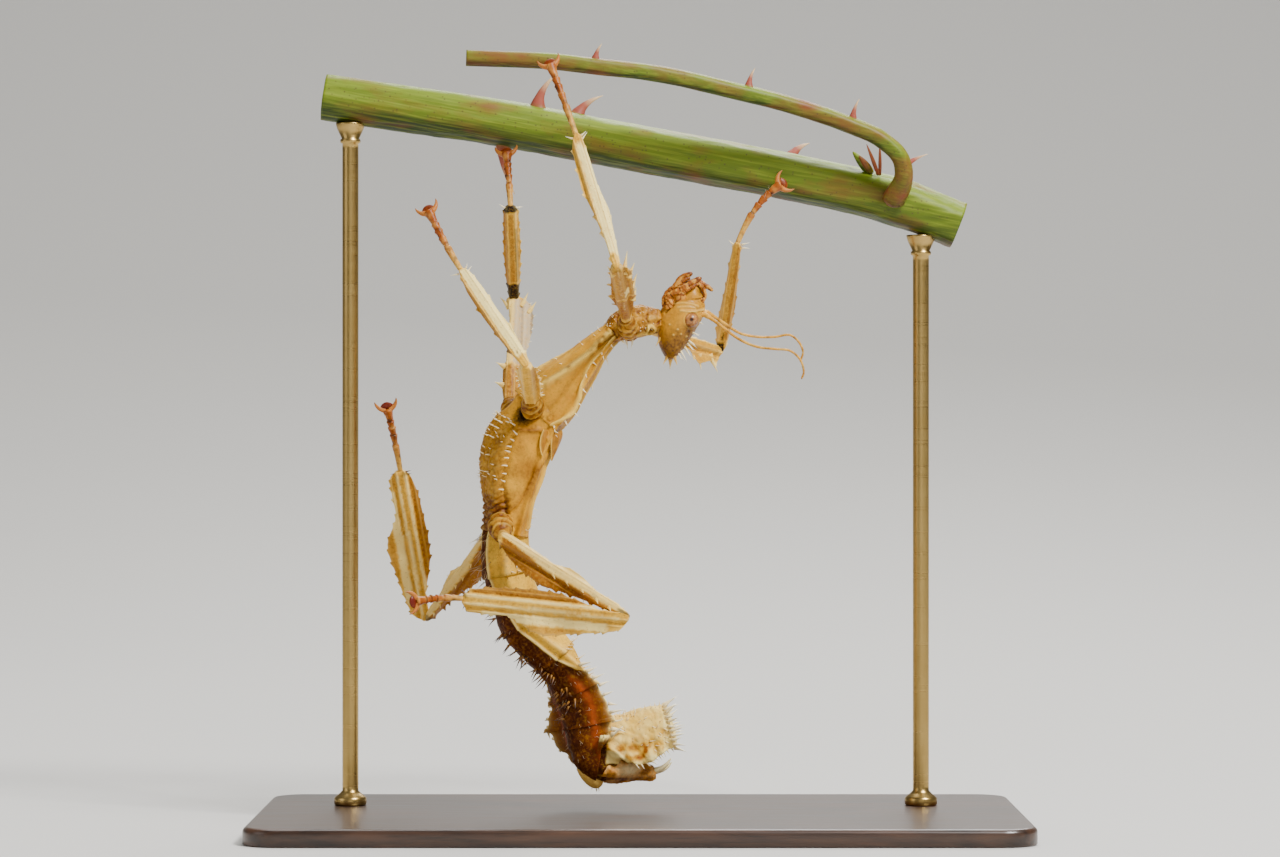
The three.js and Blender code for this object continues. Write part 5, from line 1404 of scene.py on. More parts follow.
HIND_SHIN = {
    "first": [
        (0, 0.5), (0.12, 0.45), (0.18, 0.55), (0.3, 1.65), (0.42, 2.5), (0.57, 2.75), (0.72, 2.5),
        (0.84, 2.3), (0.95, 1.7), (1, 1.0),
    ],
    "second": [
        (0, 1.5), (0.06, 2.8), (0.2, 3.5), (0.35, 4.1), (0.47, 4.7), (0.53, 4.6), (0.6, 3.8), (0.66, 2.8),
        (0.72, 2.1), (0.85, 2.2), (0.95, 2.2), (1, 1.5),
    ],
    "teeth": (11, 0.35, 13, 0.4), "black_tips": True,
    "tones": [
        ("shade", 1.05, 9, 0.12, 0.97, 0.75), ("crease", 2.0, 9, 0.15, 0.95, 0.3),
        ("crest", 0.4, 1.0, 0.02, 1.0, 0.7),
        # The two darker bands in the grooves, on this line and the next, are painted shade.
        ("shade", -0.3, 0.3, 0.05, 0.95, 0.3), ("crest", -1.0, -0.4, 0.02, 1.0, 0.7),
        ("shade", -1.6, -1.15, 0.1, 0.9, 0.25), ("crest", -3.2, -1.6, 0.1, 0.9, 0.8),
        # Painted shade along the lower rim.
        ("shade", -9, -3.3, 0.25, 0.62, 0.55),
        ("flush", -3.1, -2.8, 0.43, 0.47, 0.9), ("flush", 0.2, 9, 0.965, 1.1, 0.6),
        ("flush", 0.25, 9, -0.1, 0.045, 0.75),
    ],
}
LEGS = {
    "front_left": {
        "points": [  # root, hip, knee, ankle and toe
            (-1.9, -1.6, 84.4), (-2.4, -5.4, 86.6), (-3.9, -23.6, 94.5), (-10.6, -13.6, 116.8),
            (-15.0, -8.3, 129.0),
        ],
        "bend": (-12.9, -11, 123.4),  # the point that the foot's curve is drawn towards
        "hip": 1.75,  # radius
        "thigh": {
            "side": (1, 0, 0.1),  # the way to the first rim
            "first": [(0, 0.9), (0.18, 1.5), (0.43, 2.2), (0.66, 2.2), (0.86, 2.4), (1, 1.7)],
            "second": [(0, 0.8), (0.18, 0.7), (0.43, 1.8), (0.66, 1.4), (1, 1.1)], "teeth": (4, 0.6, 5, 0.8),
            "tones": [
                # The half towards the hip is painted darker than the half towards the knee, as painted
                # shadow.
                ("shade", -9, 9, 0.06, 0.45, 0.9), ("shade", -9, 9, 0.45, 1.0, 0.68),
                ("crease", -9, -1.1, 0.3, 0.9, 0.15), ("crest", 0.0, 0.3, 0.25, 1.0, 0.6),
                ("crest", 0.6, 1.5, 0.5, 0.62, 1.0), ("crease", -9, 9, 0.96, 1.1, 0.5),
            ],
        },
        "shin": {
            "first": [(0, 0.7), (0.05, 0.9), (0.24, 1.3), (0.41, 1.65), (0.61, 1.0), (0.82, 1.0), (1, 0.8)],
            "second": [
                (0, 0.5), (0.18, 0.45), (0.41, 1.0), (0.61, 1.75), (0.82, 1.5), (0.92, 1.3), (1, 0.5),
            ],
            "teeth": (4, 0.15, 6, 0.45),
            "tones": [
                ("shade", -9, -0.6, 0.0, 0.5, 0.45), ("crest", -0.6, 0.6, 0.08, 0.95, 0.85),
                ("crest", 0.5, 9, 0.05, 0.9, 1.0), ("flush", -0.35, 0.2, 0.05, 0.085, 0.95),
                ("shade", -9, 9, 0.9, 1.1, 0.3),
            ],
        },
        "spines": [
            ((-2.7, -21.5, 93.4), (-2.1, -22, 97.2)), ((-2.0, -20.3, 92.9), (-0.9, -20.8, 95.3)),
            ((-1.5, -15.6, 91.3), (-0.5, -16.3, 93.7)), ((-1.3, -11.6, 89.5), (-0.6, -12.4, 91.6)),
            ((-4.2, -22.3, 93.2), (-5.4, -22.8, 94.7)),
        ],
    },
    "front_right": {
        "points": [
            (-1.7, 1.6, 84.4), (-1.0, 5.2, 85.9), (14.1, 17.9, 81.8), (16.7, 4.4, 99.7), (24.0, 5.0, 109.7),
        ],
        "bend": (19.3, 4.0, 106.6), "hip": 1.75,
        "thigh": {
            "side": (0.3, 0.1, -1),
            "first": [
                (0, 0.9), (0.55, 1.2), (0.66, 1.8), (0.76, 3.7), (0.8, 3.3), (0.87, 2.7), (0.93, 2.6),
                (0.97, 2.6), (1, 1.2),
            ],
            "second": [(0, 0.9), (0.5, 0.9), (0.7, 0.5), (1, 0.4)], "teeth": (5, 0.7, 7, 0.4),
            "tones": [
                ("shade", -0.1, 9, 0.2, 0.96, 0.5), ("crease", 0.6, 2.2, 0.9, 0.97, 0.3),
                ("crest", -9, -0.1, 0.3, 1.0, 0.35),
            ],
        },
        "shin": {
            "first": [
                (0, 0.6), (0.1, 1.0), (0.26, 1.15), (0.42, 1.35), (0.59, 1.1), (0.85, 0.85), (1, 0.55),
            ],
            "second": [(0, 0.7), (0.18, 1.4), (0.39, 1.2), (0.62, 0.9), (0.83, 0.9), (1, 0.6)],
            "teeth": (7, 0.3, 7, 0.3),
            "tones": [
                ("flush", -1.0, 0.5, -0.1, 0.1, 1.0), ("flush", -0.25, 0.2, 0.1, 0.2, 0.8),
                ("shade", 0.1, 9, 0.1, 1.0, 0.7),
                ("crest", -9, -0.5, 0.12, 0.9, 0.25), ("shade", -9, 0.1, 0.1, 1.0, 0.3),
            ],
        },
        "spines": [((12.0, 16.1, 80.9), (13.5, 16.6, 77.8)), ((10.2, 14.6, 81.0), (10.6, 14.7, 78.2))],
    },
    "middle_left": {
        "points": [
            (-17.9, -3.0, 70.8), (-18.4, -7.6, 72.9), (-18.7, -25.7, 78.2), (-29.6, -18.3, 94.2),
            (-35.2, -12.4, 104.2),
        ],
        "bend": (-32.6, -15.2, 98.8), "hip": 2.0,
        "thigh": {
            "side": (-1, 0, 0), "first": [(0, 1.1), (0.4, 1.4), (0.8, 1.7), (1, 1.0)],
            "second": [(0, 1.5), (0.3, 2.0), (0.6, 1.9), (0.85, 1.6), (1, 1.2)], "teeth": (3, 0.6, 4, 0.8),
            "tones": [("crest", 0.8, 9, 0.6, 1.0, 0.4), ("shade", -9, -0.5, 0.5, 1.0, 0.45)],
        },
        "shin": {
            "first": [(0, 0.9), (0.11, 1.2), (0.34, 1.65), (0.54, 1.35), (0.78, 1.4), (0.95, 1.1), (1, 0.7)],
            "second": [(0, 0.5), (0.17, 0.9), (0.34, 1.15), (0.55, 1.35), (0.81, 1.25), (1, 0.5)],
            "teeth": (4, 0.3, 4, 0.45),
            "tones": [
                ("shade", -9, -0.6, 0.02, 0.95, 0.75), ("crest", -0.45, 9, 0.08, 1.0, 0.95),
                ("flush", -9, -0.8, 0.03, 0.25, 0.7),
                ("flush", -0.1, 0.35, 0.1, 0.15, 0.95),
            ],
        },
    },
    "middle_right": {
        "points": [
            (-21.4, 2.6, 69.9), (-22.4, 6.6, 72.6), (-21.9, 15.3, 90.6), (-22.1, 2.6, 105.8),
            (-22.9, 7.2, 115.2),
        ],
        "bend": (-22.4, 4.0, 110.8), "hip": 2.0,
        "thigh": {
            "side": (1, 0, 0),
            "first": [(0, 1.1), (0.3, 1.6), (0.47, 2.4), (0.6, 3.1), (0.82, 3.5), (0.93, 3.1), (1, 2.0)],
            "second": [
                (0, 1.0), (0.1, 1.3), (0.31, 1.4), (0.34, 0.9), (0.5, 0.8), (0.8, 0.6), (0.93, 0.9),
                (1, 1.6),
            ],
            "teeth": (10, 0.25, 4, 0.4),
            "tones": [
                ("belly", 0.2, 9, 0.34, 1.0, 0.9), ("crest", -9, 0.25, 0.34, 1.0, 0.45),
                ("flush", 3.0, 9, 0.4, 0.95, 0.55),
                ("shade", -9, 9, -0.1, 0.34, 0.75), ("crease", -9, 9, 0.31, 0.345, 0.8),
                ("crease", 0.2, 0.6, 0.0, 0.3, 0.5),
                ("crease", -9, 9, 0.15, 0.175, 0.45), ("crease", -0.8, -0.4, 0.05, 0.3, 0.4),
                ("shade", 0.8, 2.6, 0.86, 1.0, 0.6),
            ],
        },
        "shin": {
            "first": [(0, 0.8), (0.2, 1.15), (0.5, 1.5), (0.9, 1.35), (1, 1.15)],
            "second": [(0, 0.8), (0.2, 1.2), (0.5, 1.5), (0.9, 1.3), (1, 1.1)], "teeth": (9, 0.3, 9, 0.3),
            "tones": [
                ("flush", -9, 9, -0.1, 0.2, 1.0), ("flush", 0.45, 1.2, 0.2, 0.8, 0.55),
                ("flush", -9, 9, 0.95, 1.1, 1.0),
                ("shade", -9, -0.6, 0.1, 1.0, 0.75), ("shade", -0.5, 0.5, 0.2, 0.95, 0.6),
            ],
        },
        "spines": [
            ((-23.2, 9.4, 78.6), (-24.8, 9.2, 79.4)), ((-23.4, 8.0, 75.4), (-25.0, 7.8, 76.0)),
            ((-22.6, 15.0, 89.0), (-24.3, 15.0, 90.8)), ((-20.6, 14.9, 89.2), (-19.4, 14.7, 91.6)),
            ((-19.4, 14.6, 88.0), (-18.0, 14.4, 90.0)),
        ],
    },
    "hind_left": {
        "points": [
            (-23.6, -2.6, 52.4), (-23.4, -7.4, 49.8), (-2.1, -20.5, 37.1), (-29.4, -12.0, 39.6),
            (-37.2, -16.6, 39.3),
        ],
        "bend": (-33.4, -13.6, 40.0), "hip": 2.1,
        "thigh": {**HIND_THIGH, "side": (0.6, 0, 0.8)}, "shin": HIND_SHIN,
    },
    "hind_right": {
        "points": [
            (-23.6, 2.6, 51.6), (-25.4, 7.6, 50.2), (-37.5, 27.0, 34.5), (-41.5, 13.5, 60.5),
            (-43.4, 7.4, 71.4),
        ],
        "bend": (-42.3, 10.2, 66.4), "hip": 2.1,
        "thigh": {**HIND_THIGH, "side": (-0.6, 0, 0.8)}, "shin": HIND_SHIN,
    },
}
BLADE_SIDES = 72
BLADE_STEP = 0.09
BLADE_REACH = 0.3
BLADE_ROUNDING = 1.1  # length of its rounded ends
RIM_THICKNESS = 0.13
THIGH_CORE = 1.05  # how far the thick middle stands out of a face
SHIN_CORE = 0.85
HIP_SIDES = 90
HIP_SWELL = [(0, 0.85), (0.3, 1.03), (0.62, 0.95), (0.8, 0.72), (0.86, 0.64), (0.95, 0.62), (1, 0.35)]
STEP_TEETH = (0.08, 0.19, 0.31, 0.45, 0.55, 0.67, 0.78, 0.88)  # shares of the hind thigh's length
leg_shell = cuticle(
    "leg cuticle", "#f2c24c", "#d89e2a", "#985a08", "#ffe694", "#54290a", belly="#bda988", flush="#120a04",
    specks=0.55, shine=0.44, gloss=0.15,
)


def unit(vector):
    """The vector at unit length."""
    return np.asarray(vector, float) / np.linalg.norm(vector)


def saw(run, length, count, chance):
    """The height of a row of forward-leaning teeth, 0 to 1, along a rim."""
    height = np.zeros_like(run)
    for index in range(count):
        place = (index + 0.6 + chance.uniform(-0.25, 0.25)) / count * length
        lean = min(1.1, length / count * 0.6)
        tooth = np.where(run < place, 1 - (place - run) / lean, 1 - (run - place) / 0.22)
        height = np.maximum(height, clamp(tooth) ** 1.3 * chance.uniform(0.6, 1.1))
    return height


def along_blade(widths, share):
    """A value that follows (share, value) pairs along a blade, or one value all along it."""
    if np.ndim(widths) == 0:
        return np.full_like(share, widths)
    fine = np.interp(share, *np.transpose(widths))
    window = np.hanning(13)
    return np.convolve(np.pad(fine, 6, "edge"), window / window.sum(), "valid")


def blade_axes(start, end, side):
    """The directions along a blade, across it to its first rim, and out of its nearer face."""
    along = unit(end - start)
    across = unit(np.array(side, float) - along * np.dot(side, along))
    face = np.cross(along, across)
    return along, across, face if face[1] < 0 else -face


def blade(start, end, side, shape, thick, seed):
    """A leaf-like blade from start to end, reaching a little past both: its closed tube and masks."""
    length = np.linalg.norm(end - start)
    along, across, face = blade_axes(start, end, side)
    chance = random.Random(seed)
    run = np.linspace(-BLADE_REACH, length + BLADE_REACH, int(length / BLADE_STEP))
    share = clamp(run / length)
    ends = clamp(np.minimum(run + 0.31, length + 0.31 - run) / BLADE_ROUNDING)
    rounding = (0.2 + 0.8 * np.sqrt(1 - (1 - ends) ** 2))[:, None]
    turn = turns(BLADE_SIDES)
    place = np.sign(np.cos(turn)) * np.abs(np.cos(turn)) ** 0.85
    first_teeth, first_depth, second_teeth, second_depth = shape["teeth"]
    first_width = along_blade(shape["first"], share)[:, None] * rounding
    second_width = along_blade(shape["second"], share)[:, None] * rounding
    a = np.where(place > 0, place * first_width, place * second_width)
    tooth = np.where(
        place > 0, first_depth * saw(run, length, first_teeth, chance)[:, None],
        second_depth * saw(run, length, second_teeth, chance)[:, None],
    ) * rise(np.abs(place), 0.74, 0.26) ** 1.6
    a = a + np.sign(place) * tooth
    core = thick * np.interp(share, [0, 0.3, 1], [0.95, 1.0, 0.78])[:, None] * rounding
    b = RIM_THICKNESS + core * bell(a, 0.85)
    ridge = bell(np.abs(a) - 0.78, 0.2) + 0.6 * bell(np.abs(a) - 1.9, 0.16)
    valley = bell(np.abs(a) - 1.3, 0.22) + 0.8 * bell(a, 0.25)
    b = b + (0.32 * ridge - 0.2 * valley * core / thick) * rounding
    b = b * (1 - np.abs(place) ** 8) ** 0.5 * np.sign(np.sin(turn) + 1e-12)  # the faces meet at the rims
    rings = start + along * run[:, None, None] + across * a[..., None] + face * b[..., None]
    bow = 0.7 * grain(rings, 5.0, seed) * np.minimum(np.abs(a), 2.5) / 2.5
    ripple = 0.1 * grain(rings, 1.6, seed + 4) * clamp(np.abs(a) - 0.6)
    rings = rings + face * (bow + ripple + 0.05 * grain(rings, 0.8, seed + 1))[..., None]
    tips = clamp((tooth - 0.12) / (0.6 * max(first_depth, second_depth)))
    black = bool(shape.get("black_tips"))
    rim = rise(np.abs(place), 0.9, 0.08)
    # Painted highlight along the raised ridges and the rims, and painted shade in the valleys between them.
    masks = {
        "crest": np.clip(0.3 * ridge + 0.3 * rim + 0.9 * tips * (not black), 0, 0.9),
        "crease": clamp(0.18 * valley),
        "shade": clamp(0.14 + 0.3 * grain(rings, 2.5, seed + 2)),
        "flush": tips ** 2 * black,
        "belly": np.zeros(rings.shape[:2]),
    }
    ragged = 0.14 * grain(rings, 0.9, seed + 3) + 0.05 * grain(rings, 0.3, seed + 5)
    for mask, a_low, a_high, t_low, t_high, level in shape["tones"]:
        a_low, a_high = (along_blade(edge, share)[:, None] for edge in (a_low, a_high))
        inside = clamp((a + ragged - a_low) / 0.14) * clamp((a_high - a - ragged) / 0.14)
        where = share[:, None] + ragged / length * 2
        inside *= clamp((where - t_low) / 0.025) * clamp((t_high - where) / 0.025)
        if mask != "crest":
            masks["crest"] = masks["crest"] * (1 - 0.8 * inside * level)
        masks[mask] = np.maximum(masks[mask], inside * level)
    return rings, masks


for number, (word, leg) in enumerate(LEGS.items()):
    root, hip, knee, ankle = (np.array(point, float) for point in leg["points"][:4])
    seed = 70 + 10 * number

    # The hip joint: a barrel with wrapped wrinkles, and the short ring that joins it to the thigh.
    outward = unit(hip - root)
    line, ways, share = evenly([root - 0.6 * outward, (root + hip) / 2, hip + 0.35 * outward], 0.08)
    swell = leg["hip"] * np.interp(share, *np.transpose(HIP_SWELL))
    rings = rings_round(line, ways, swell, HIP_SIDES, (0.2, 0.1, 0.97))
    swirl = np.sin(share[:, None] * 26 + 2.0 * grain(rings, 1.6, seed + 4) + turns(HIP_SIDES))
    creases = wrinkle(rings, 1.3, seed + 5, 4.0)
    bumps = 0.035 * swirl - 0.06 * creases + 0.04 * grain(rings, 1.0, seed)
    rings += (rings - line[:, None]) * bumps[..., None]
    # Painted shade darkens the wrinkles and the troughs between the wrapped rings, and a painted highlight
    # lightens the rings' crests.
    masks = {
        "crease": clamp(0.7 * creases + 0.25 * (swirl < -0.6)), "crest": 0.35 * clamp(swirl - 0.3),
        "shade": clamp(0.65 + 0.5 * grain(rings, 1.8, seed + 6)),
    }
    settle(piece_from(f"hip_{word}", [(rings, masks)], straw_shell), "straw_plate", f"coxa_{word}")

    thigh = leg["thigh"]
    tubes = [blade(hip, knee, thigh["side"], thigh, THIGH_CORE, seed)]
    tubes += [cusp(spine_root, spine_tip, 0.62) for spine_root, spine_tip in leg.get("spines", [])]
    if "hind" in word:
        # A row of saw teeth stands along the step between the cream strip and the brown face.
        along, across, face = blade_axes(hip, knee, thigh["side"])
        for place in STEP_TEETH:
            step = np.interp(place, *np.transpose(STEP_LINE))
            base = hip + (knee - hip) * place + across * (step + 0.1) + face * 0.75
            tubes.append(cusp(base, base + along * 0.85 - across * 0.55 + face * 0.1, 0.34, 8))
    settle(piece_from(f"thigh_{word}", tubes, leg_shell), "leg_plate", f"femur_{word}")

    shin = blade(knee, ankle, np.cross(ankle - knee, (0, -1, 0)), leg["shin"], SHIN_CORE, seed + 7)
    settle(piece_from(f"shin_{word}", [shin], leg_shell), "leg_plate", f"tibia_{word}")

# ---- Feet
# Each foot has five short joints, the first the longest, swollen at their far ends; it grades from amber at
# the ankle to brick red. The last joint widens to a round dark red pad between two curved claws.
foot_shell = cuticle(
    "foot cuticle", "#b4611a", "#8e4008", "#401604", "#e0a04a", "#240c04", belly="#d9ae4e", flush="#5e1204",
    specks=0.15, shine=0.36,
)
FOOT_JOINTS = [0.0, 0.42, 0.58, 0.7, 0.8, 1.0]  # where the joints meet, as shares of the foot
FOOT_RINGS = 160
FOOT_SIDES = 28
PAD_RINGS = 24
PAD_TURNS = turns(36)[:, None]
CLAW_SIDES = 16

for number, (word, leg) in enumerate(LEGS.items()):
    ankle, toe, bend = (np.array(point, float) for point in (*leg["points"][3:], leg["bend"]))
    t = np.linspace(-0.04, 1, FOOT_RINGS)[:, None]
    line = ankle * (1 - t) ** 2 + 2 * bend * t * (1 - t) + toe * t ** 2
    ways = unit_rows(np.gradient(line, axis=0))
    run = clamp(t[:, 0])
    joint = np.interp(run, FOOT_JOINTS, range(len(FOOT_JOINTS)))
    part = joint - np.floor(np.minimum(joint, 4.999))  # 0 to 1 along each joint
    radii = 0.46 + 0.22 * part ** 2 - 0.14 * bell(np.minimum(part, 1 - part), 0.05)
    radii += np.where(run > 0.8, 0.22 * part, 0) + 0.08 * np.clip(run - 0.4, 0, 0.3) / 0.3
    rings = rings_round(line, ways, radii, FOOT_SIDES)
    rings += (rings - line[:, None]) * (0.1 * grain(rings, 0.7, 140 + number))[..., None]
    joint_lines = (0.7 * bell(np.minimum(part, 1 - part), 0.06) * (run > 0.1))[:, None]
    creases = np.clip(joint_lines + 1.6 * grain(rings, 0.9, 160 + number) - 0.25, 0, 0.8)
    tubes = [(rings, {
        "belly": clamp(0.85 - 1.5 * run)[:, None], "crease": creases * (run < 0.85)[:, None],
        "crest": np.clip(0.8 * grain(rings, 1.2, 150 + number), 0, 0.5), "shade": 0.25,
    })]
    along = ways[-1]
    across = unit(np.cross(along, (0, -1, 0)))
    face = np.cross(along, across)
    share = np.linspace(0.02, 0.98, PAD_RINGS)
    pad_line = toe + along * (share * 1.6 - 0.3)[:, None]
    pad_size = 1.08 * np.sin(share * math.pi) ** 0.55
    pad_spokes = across * np.cos(PAD_TURNS) + face * (0.3 * np.sin(PAD_TURNS))
    pad = pad_line[:, None] + pad_size[:, None, None] * pad_spokes
    tubes.append((pad, {"flush": 0.9 if "hind" in word else 0.5, "shade": 0.5}))
    for hand in (1, -1):
        base = toe + across * (0.45 * hand) - along * 0.2
        claw_line, claw_ways, share = evenly([
            base + along * out + across * (hand * aside)
            for out, aside in ((0, 0), (0.5, 0.8), (1.25, 1.3), (1.95, 1.45))
        ], 0.06)
        claw = rings_round(claw_line, claw_ways, 0.5 * (1 - share) ** 0.75 + 0.03, CLAW_SIDES)
        tubes.append((claw, {
            "flush": (0.5 * share)[:, None], "crease": clamp(share - 0.75)[:, None] * 3, "crest": 0.25,
        }))
    settle(piece_from(f"foot_{word}", tubes, foot_shell), "foot", f"tarsus_{word}")

# ---- Spines and hairs
# Hollow cones of shell grow from the keels, rims and edges: cream ones on thorax, rims, back and head, and
# black-tipped ones along the belly and at the ankles. Fine white hairs clothe the belly and the feet.

# One node tree plants a thin bent cone on each point, turned by a seeded chance about its own line.
planter = bpy.data.node_groups.new("spines on points", "GeometryNodeTree")
for socket, kind in (("Points", "Geometry"), ("Bend", "Float"), ("Seed", "Int"), ("Shell", "Material")):
    planter.interface.new_socket(socket, in_out="INPUT", socket_type="NodeSocket" + kind)
planter.interface.new_socket("Spines", in_out="OUTPUT", socket_type="NodeSocketGeometry")
given = add(planter, "NodeGroupInput")
cone = add(planter, "GeometryNodeMeshCone", {
    "Vertices": 6, "Side Segments": 4, "Radius Bottom": 1.0, "Depth": 1.0,
}, fill_type="TRIANGLE_FAN")
position = add(planter, "ShaderNodeSeparateXYZ", {0: add(planter, "GeometryNodeInputPosition").outputs[0]})
squared = add(planter, "ShaderNodeMath", {0: position.outputs["Z"], 1: 2.0}, operation="POWER")
sideways = add(planter, "ShaderNodeMath", {
    0: squared.outputs[0], 1: given.outputs["Bend"],
}, operation="MULTIPLY")
offset = add(planter, "ShaderNodeCombineXYZ", {"X": sideways.outputs[0]})
bent = add(planter, "GeometryNodeSetPosition", {
    "Geometry": cone.outputs["Mesh"], "Offset": offset.outputs[0],
})
tipped = add(planter, "GeometryNodeStoreNamedAttribute", {
    "Geometry": bent.outputs[0], "Name": "tip", "Value": position.outputs["Z"],
}, data_type="FLOAT", domain="POINT")
aim, long, thick = (
    add(planter, "GeometryNodeInputNamedAttribute", {"Name": name}, data_type=kind).outputs[0]
    for name, kind in (("aim", "FLOAT_VECTOR"), ("long", "FLOAT"), ("thick", "FLOAT"))
)
aligned = add(planter, "FunctionNodeAlignRotationToVector", {"Vector": aim}, axis="Z")
spin = add(planter, "FunctionNodeRandomValue", {
    "Min": 0.0, "Max": math.tau, "Seed": given.outputs["Seed"],
}, data_type="FLOAT")
spun = add(planter, "FunctionNodeAxisAngleToRotation", {"Axis": (0, 0, 1), "Angle": spin.outputs["Value"]})
turned = add(planter, "FunctionNodeRotateRotation", {
    0: aligned.outputs[0], 1: spun.outputs[0],
}, rotation_space="LOCAL")
size = add(planter, "ShaderNodeCombineXYZ", {"X": thick, "Y": thick, "Z": long})
planted = add(planter, "GeometryNodeInstanceOnPoints", {
    "Points": given.outputs["Points"], "Instance": tipped.outputs[0], "Rotation": turned.outputs[0],
    "Scale": size.outputs[0],
})
real = add(planter, "GeometryNodeRealizeInstances", {"Geometry": planted.outputs[0]})
finished = add(planter, "GeometryNodeSetMaterial", {
    "Geometry": real.outputs[0], "Material": given.outputs["Shell"],
})
add(planter, "NodeGroupOutput", {"Spines": finished.outputs[0]})


def spine_shell(name, colours, rough):
    """Spine shell whose colour runs through the colours from root to tip."""
    material = blank_material(name)
    tree = material.node_tree
    height = add(tree, "ShaderNodeAttribute", attribute_name="tip")
    ramp = add(tree, "ShaderNodeValToRGB", {"Fac": height.outputs["Fac"]})
    colour = coloured(ramp, *zip(np.linspace(0, 1, len(colours)), colours))
    return surface(material, Base_Color=colour, Roughness=rough)


def planted_piece(name, rows, material, seed, bend):
    """A plain mesh of spines. Each row is a root in millimetres, an aim, a length and a root radius."""
    mesh = bpy.data.meshes.new(name)
    mesh.from_pydata((rows[:, :3] * MM).tolist(), [], [])
    mesh.attributes.new("aim", "FLOAT_VECTOR", "POINT").data.foreach_set("vector", rows[:, 3:6].ravel())
    for attribute, column in (("long", 6), ("thick", 7)):
        mesh.attributes.new(attribute, "FLOAT", "POINT").data.foreach_set("value", rows[:, column] * MM)
    host = placed(name + "_roots", mesh)
    grower = host.modifiers.new("spines", "NODES")
    grower.node_group = planter
    values = {"Bend": bend, "Seed": seed, "Shell": material}
    for socket in planter.interface.items_tree:
        if socket.in_out == "INPUT" and socket.name in values:
            grower[socket.identifier] = values[socket.name]
    grown = bpy.data.meshes.new_from_object(host.evaluated_get(bpy.context.evaluated_depsgraph_get()))
    bpy.data.objects.remove(host)
    grown.shade_smooth()
    grown.name = name
    return placed(name, grown)


chance = np.random.default_rng(11)
spine_rows = {"cream": [], "dark": [], "hair": []}
ROOT_DEPTH = 0.08  # how deep a spine stands in the shell


def grow(kind, roots, aims, length, radius, scatter=0.2):
    """Adds spines at the roots, each with its own small change of aim and length."""
    roots = np.atleast_2d(roots)
    aims = unit_rows(np.broadcast_to(aims, roots.shape) + chance.normal(0, scatter, roots.shape))
    lengths = length * chance.uniform(0.75, 1.2, len(roots))
    spine_rows[kind].append(np.column_stack([
        roots - aims * ROOT_DEPTH, aims, lengths, np.full(len(roots), radius),
    ]))


def grow_on(kind, section, marks, length, radius, lean=0.0, scatter=0.2, lobes=None, lift=0.0):
    """Adds spines at (row, fold) marks on both sides, tipped to the tail by lean and to the back by lift."""
    marks = np.array(marks, float)
    for side in (1, -1):
        roots = on_shell(section, marks, side, lobes(marks[:, 0]) if lobes else (0, 0))
        middle, along, _, up, _ = body_frames(marks[:, 0])
        outward = roots - middle
        outward -= along * (outward * along).sum(1, keepdims=True)
        grow(kind, roots, unit_rows(outward) + along * lean + up * lift, length, radius, scatter)


def scattered(count, rows, folds):
    """Random marks within a range of rows and of folds."""
    return np.column_stack([chance.uniform(*rows, count), chance.uniform(*folds, count)])


def crossed(rows, folds):
    """A mark at every fold of every row."""
    return [(row, fold) for row in np.atleast_1d(rows) for fold in np.atleast_1d(folds)]


KEEL_SPINES = [
    (3.35, 0.53), (3.9, 0.515), (4.45, 0.48), (5.0, 0.51), (5.45, 0.585), (5.95, 0.63), (6.5, 0.635),
    (7.05, 0.61), (7.6, 0.57),
]
BELLY_SPINES = [(3.3, 0.1), (3.6, 0.14), (4.2, 0.1), (5.3, 0.12), (6.0, 0.1), (6.8, 0.14)]
NAPE_SPINES = [(1.6, 0.9), (2.2, 0.93), (2.6, 0.86), (3.9, 0.92), (5.1, 0.9)]
BREAST_SPINES = [
    (8.9, 0.215), *crossed((9.25, 9.6, 9.9, 10.1, 10.3, 10.55, 10.8, 11.05, 11.3), 0.275),
]
RUMP_SPINES = [(11.75, 0.8), (11.9, 0.76), (12.05, 0.84), (12.2, 0.78), (12.4, 0.74)]
PAD_ROOT_SPINES = [(7.9, 0.62), (8.2, 0.66), (8.0, 0.8)]
grow_on("cream", THORAX_SECTION, KEEL_SPINES, 1.6, 0.24, 0.5, lift=1.6)
grow_on("cream", THORAX_SECTION, BELLY_SPINES, 0.7, 0.1)
grow_on("cream", THORAX_SECTION, NAPE_SPINES, 1.6, 0.22, 0.2)
grow_on("cream", THORAX_SECTION, BREAST_SPINES, 1.3, 0.18, -0.3, lift=-1.8)
grow_on("cream", THORAX_SECTION, scattered(14, (8.7, 11.2), (0.0, 0.2)), 0.8, 0.12, -0.2, lift=-0.8)
grow_on("cream", THORAX_SECTION, crossed((8.8, 9.1, 9.4, 9.8, 10.3, 10.8), 0.06), 1.3, 0.16, -0.2, lift=-0.8)
grow_on("cream", THORAX_SECTION, crossed((9.0, 9.4, 9.75, 10.1, 10.4, 10.75, 11.1), 0.8), 0.7, 0.15, 0.5)
grow_on("cream", THORAX_SECTION, RUMP_SPINES, 1.3, 0.12, -0.2, 0.3)
grow_on("cream", THORAX_SECTION, PAD_ROOT_SPINES, 1.3, 0.13, 0.1)
grow_on("cream", THORAX_SECTION, scattered(40, (0.2, 2.9), (0.05, 0.95)), 0.4, 0.09)

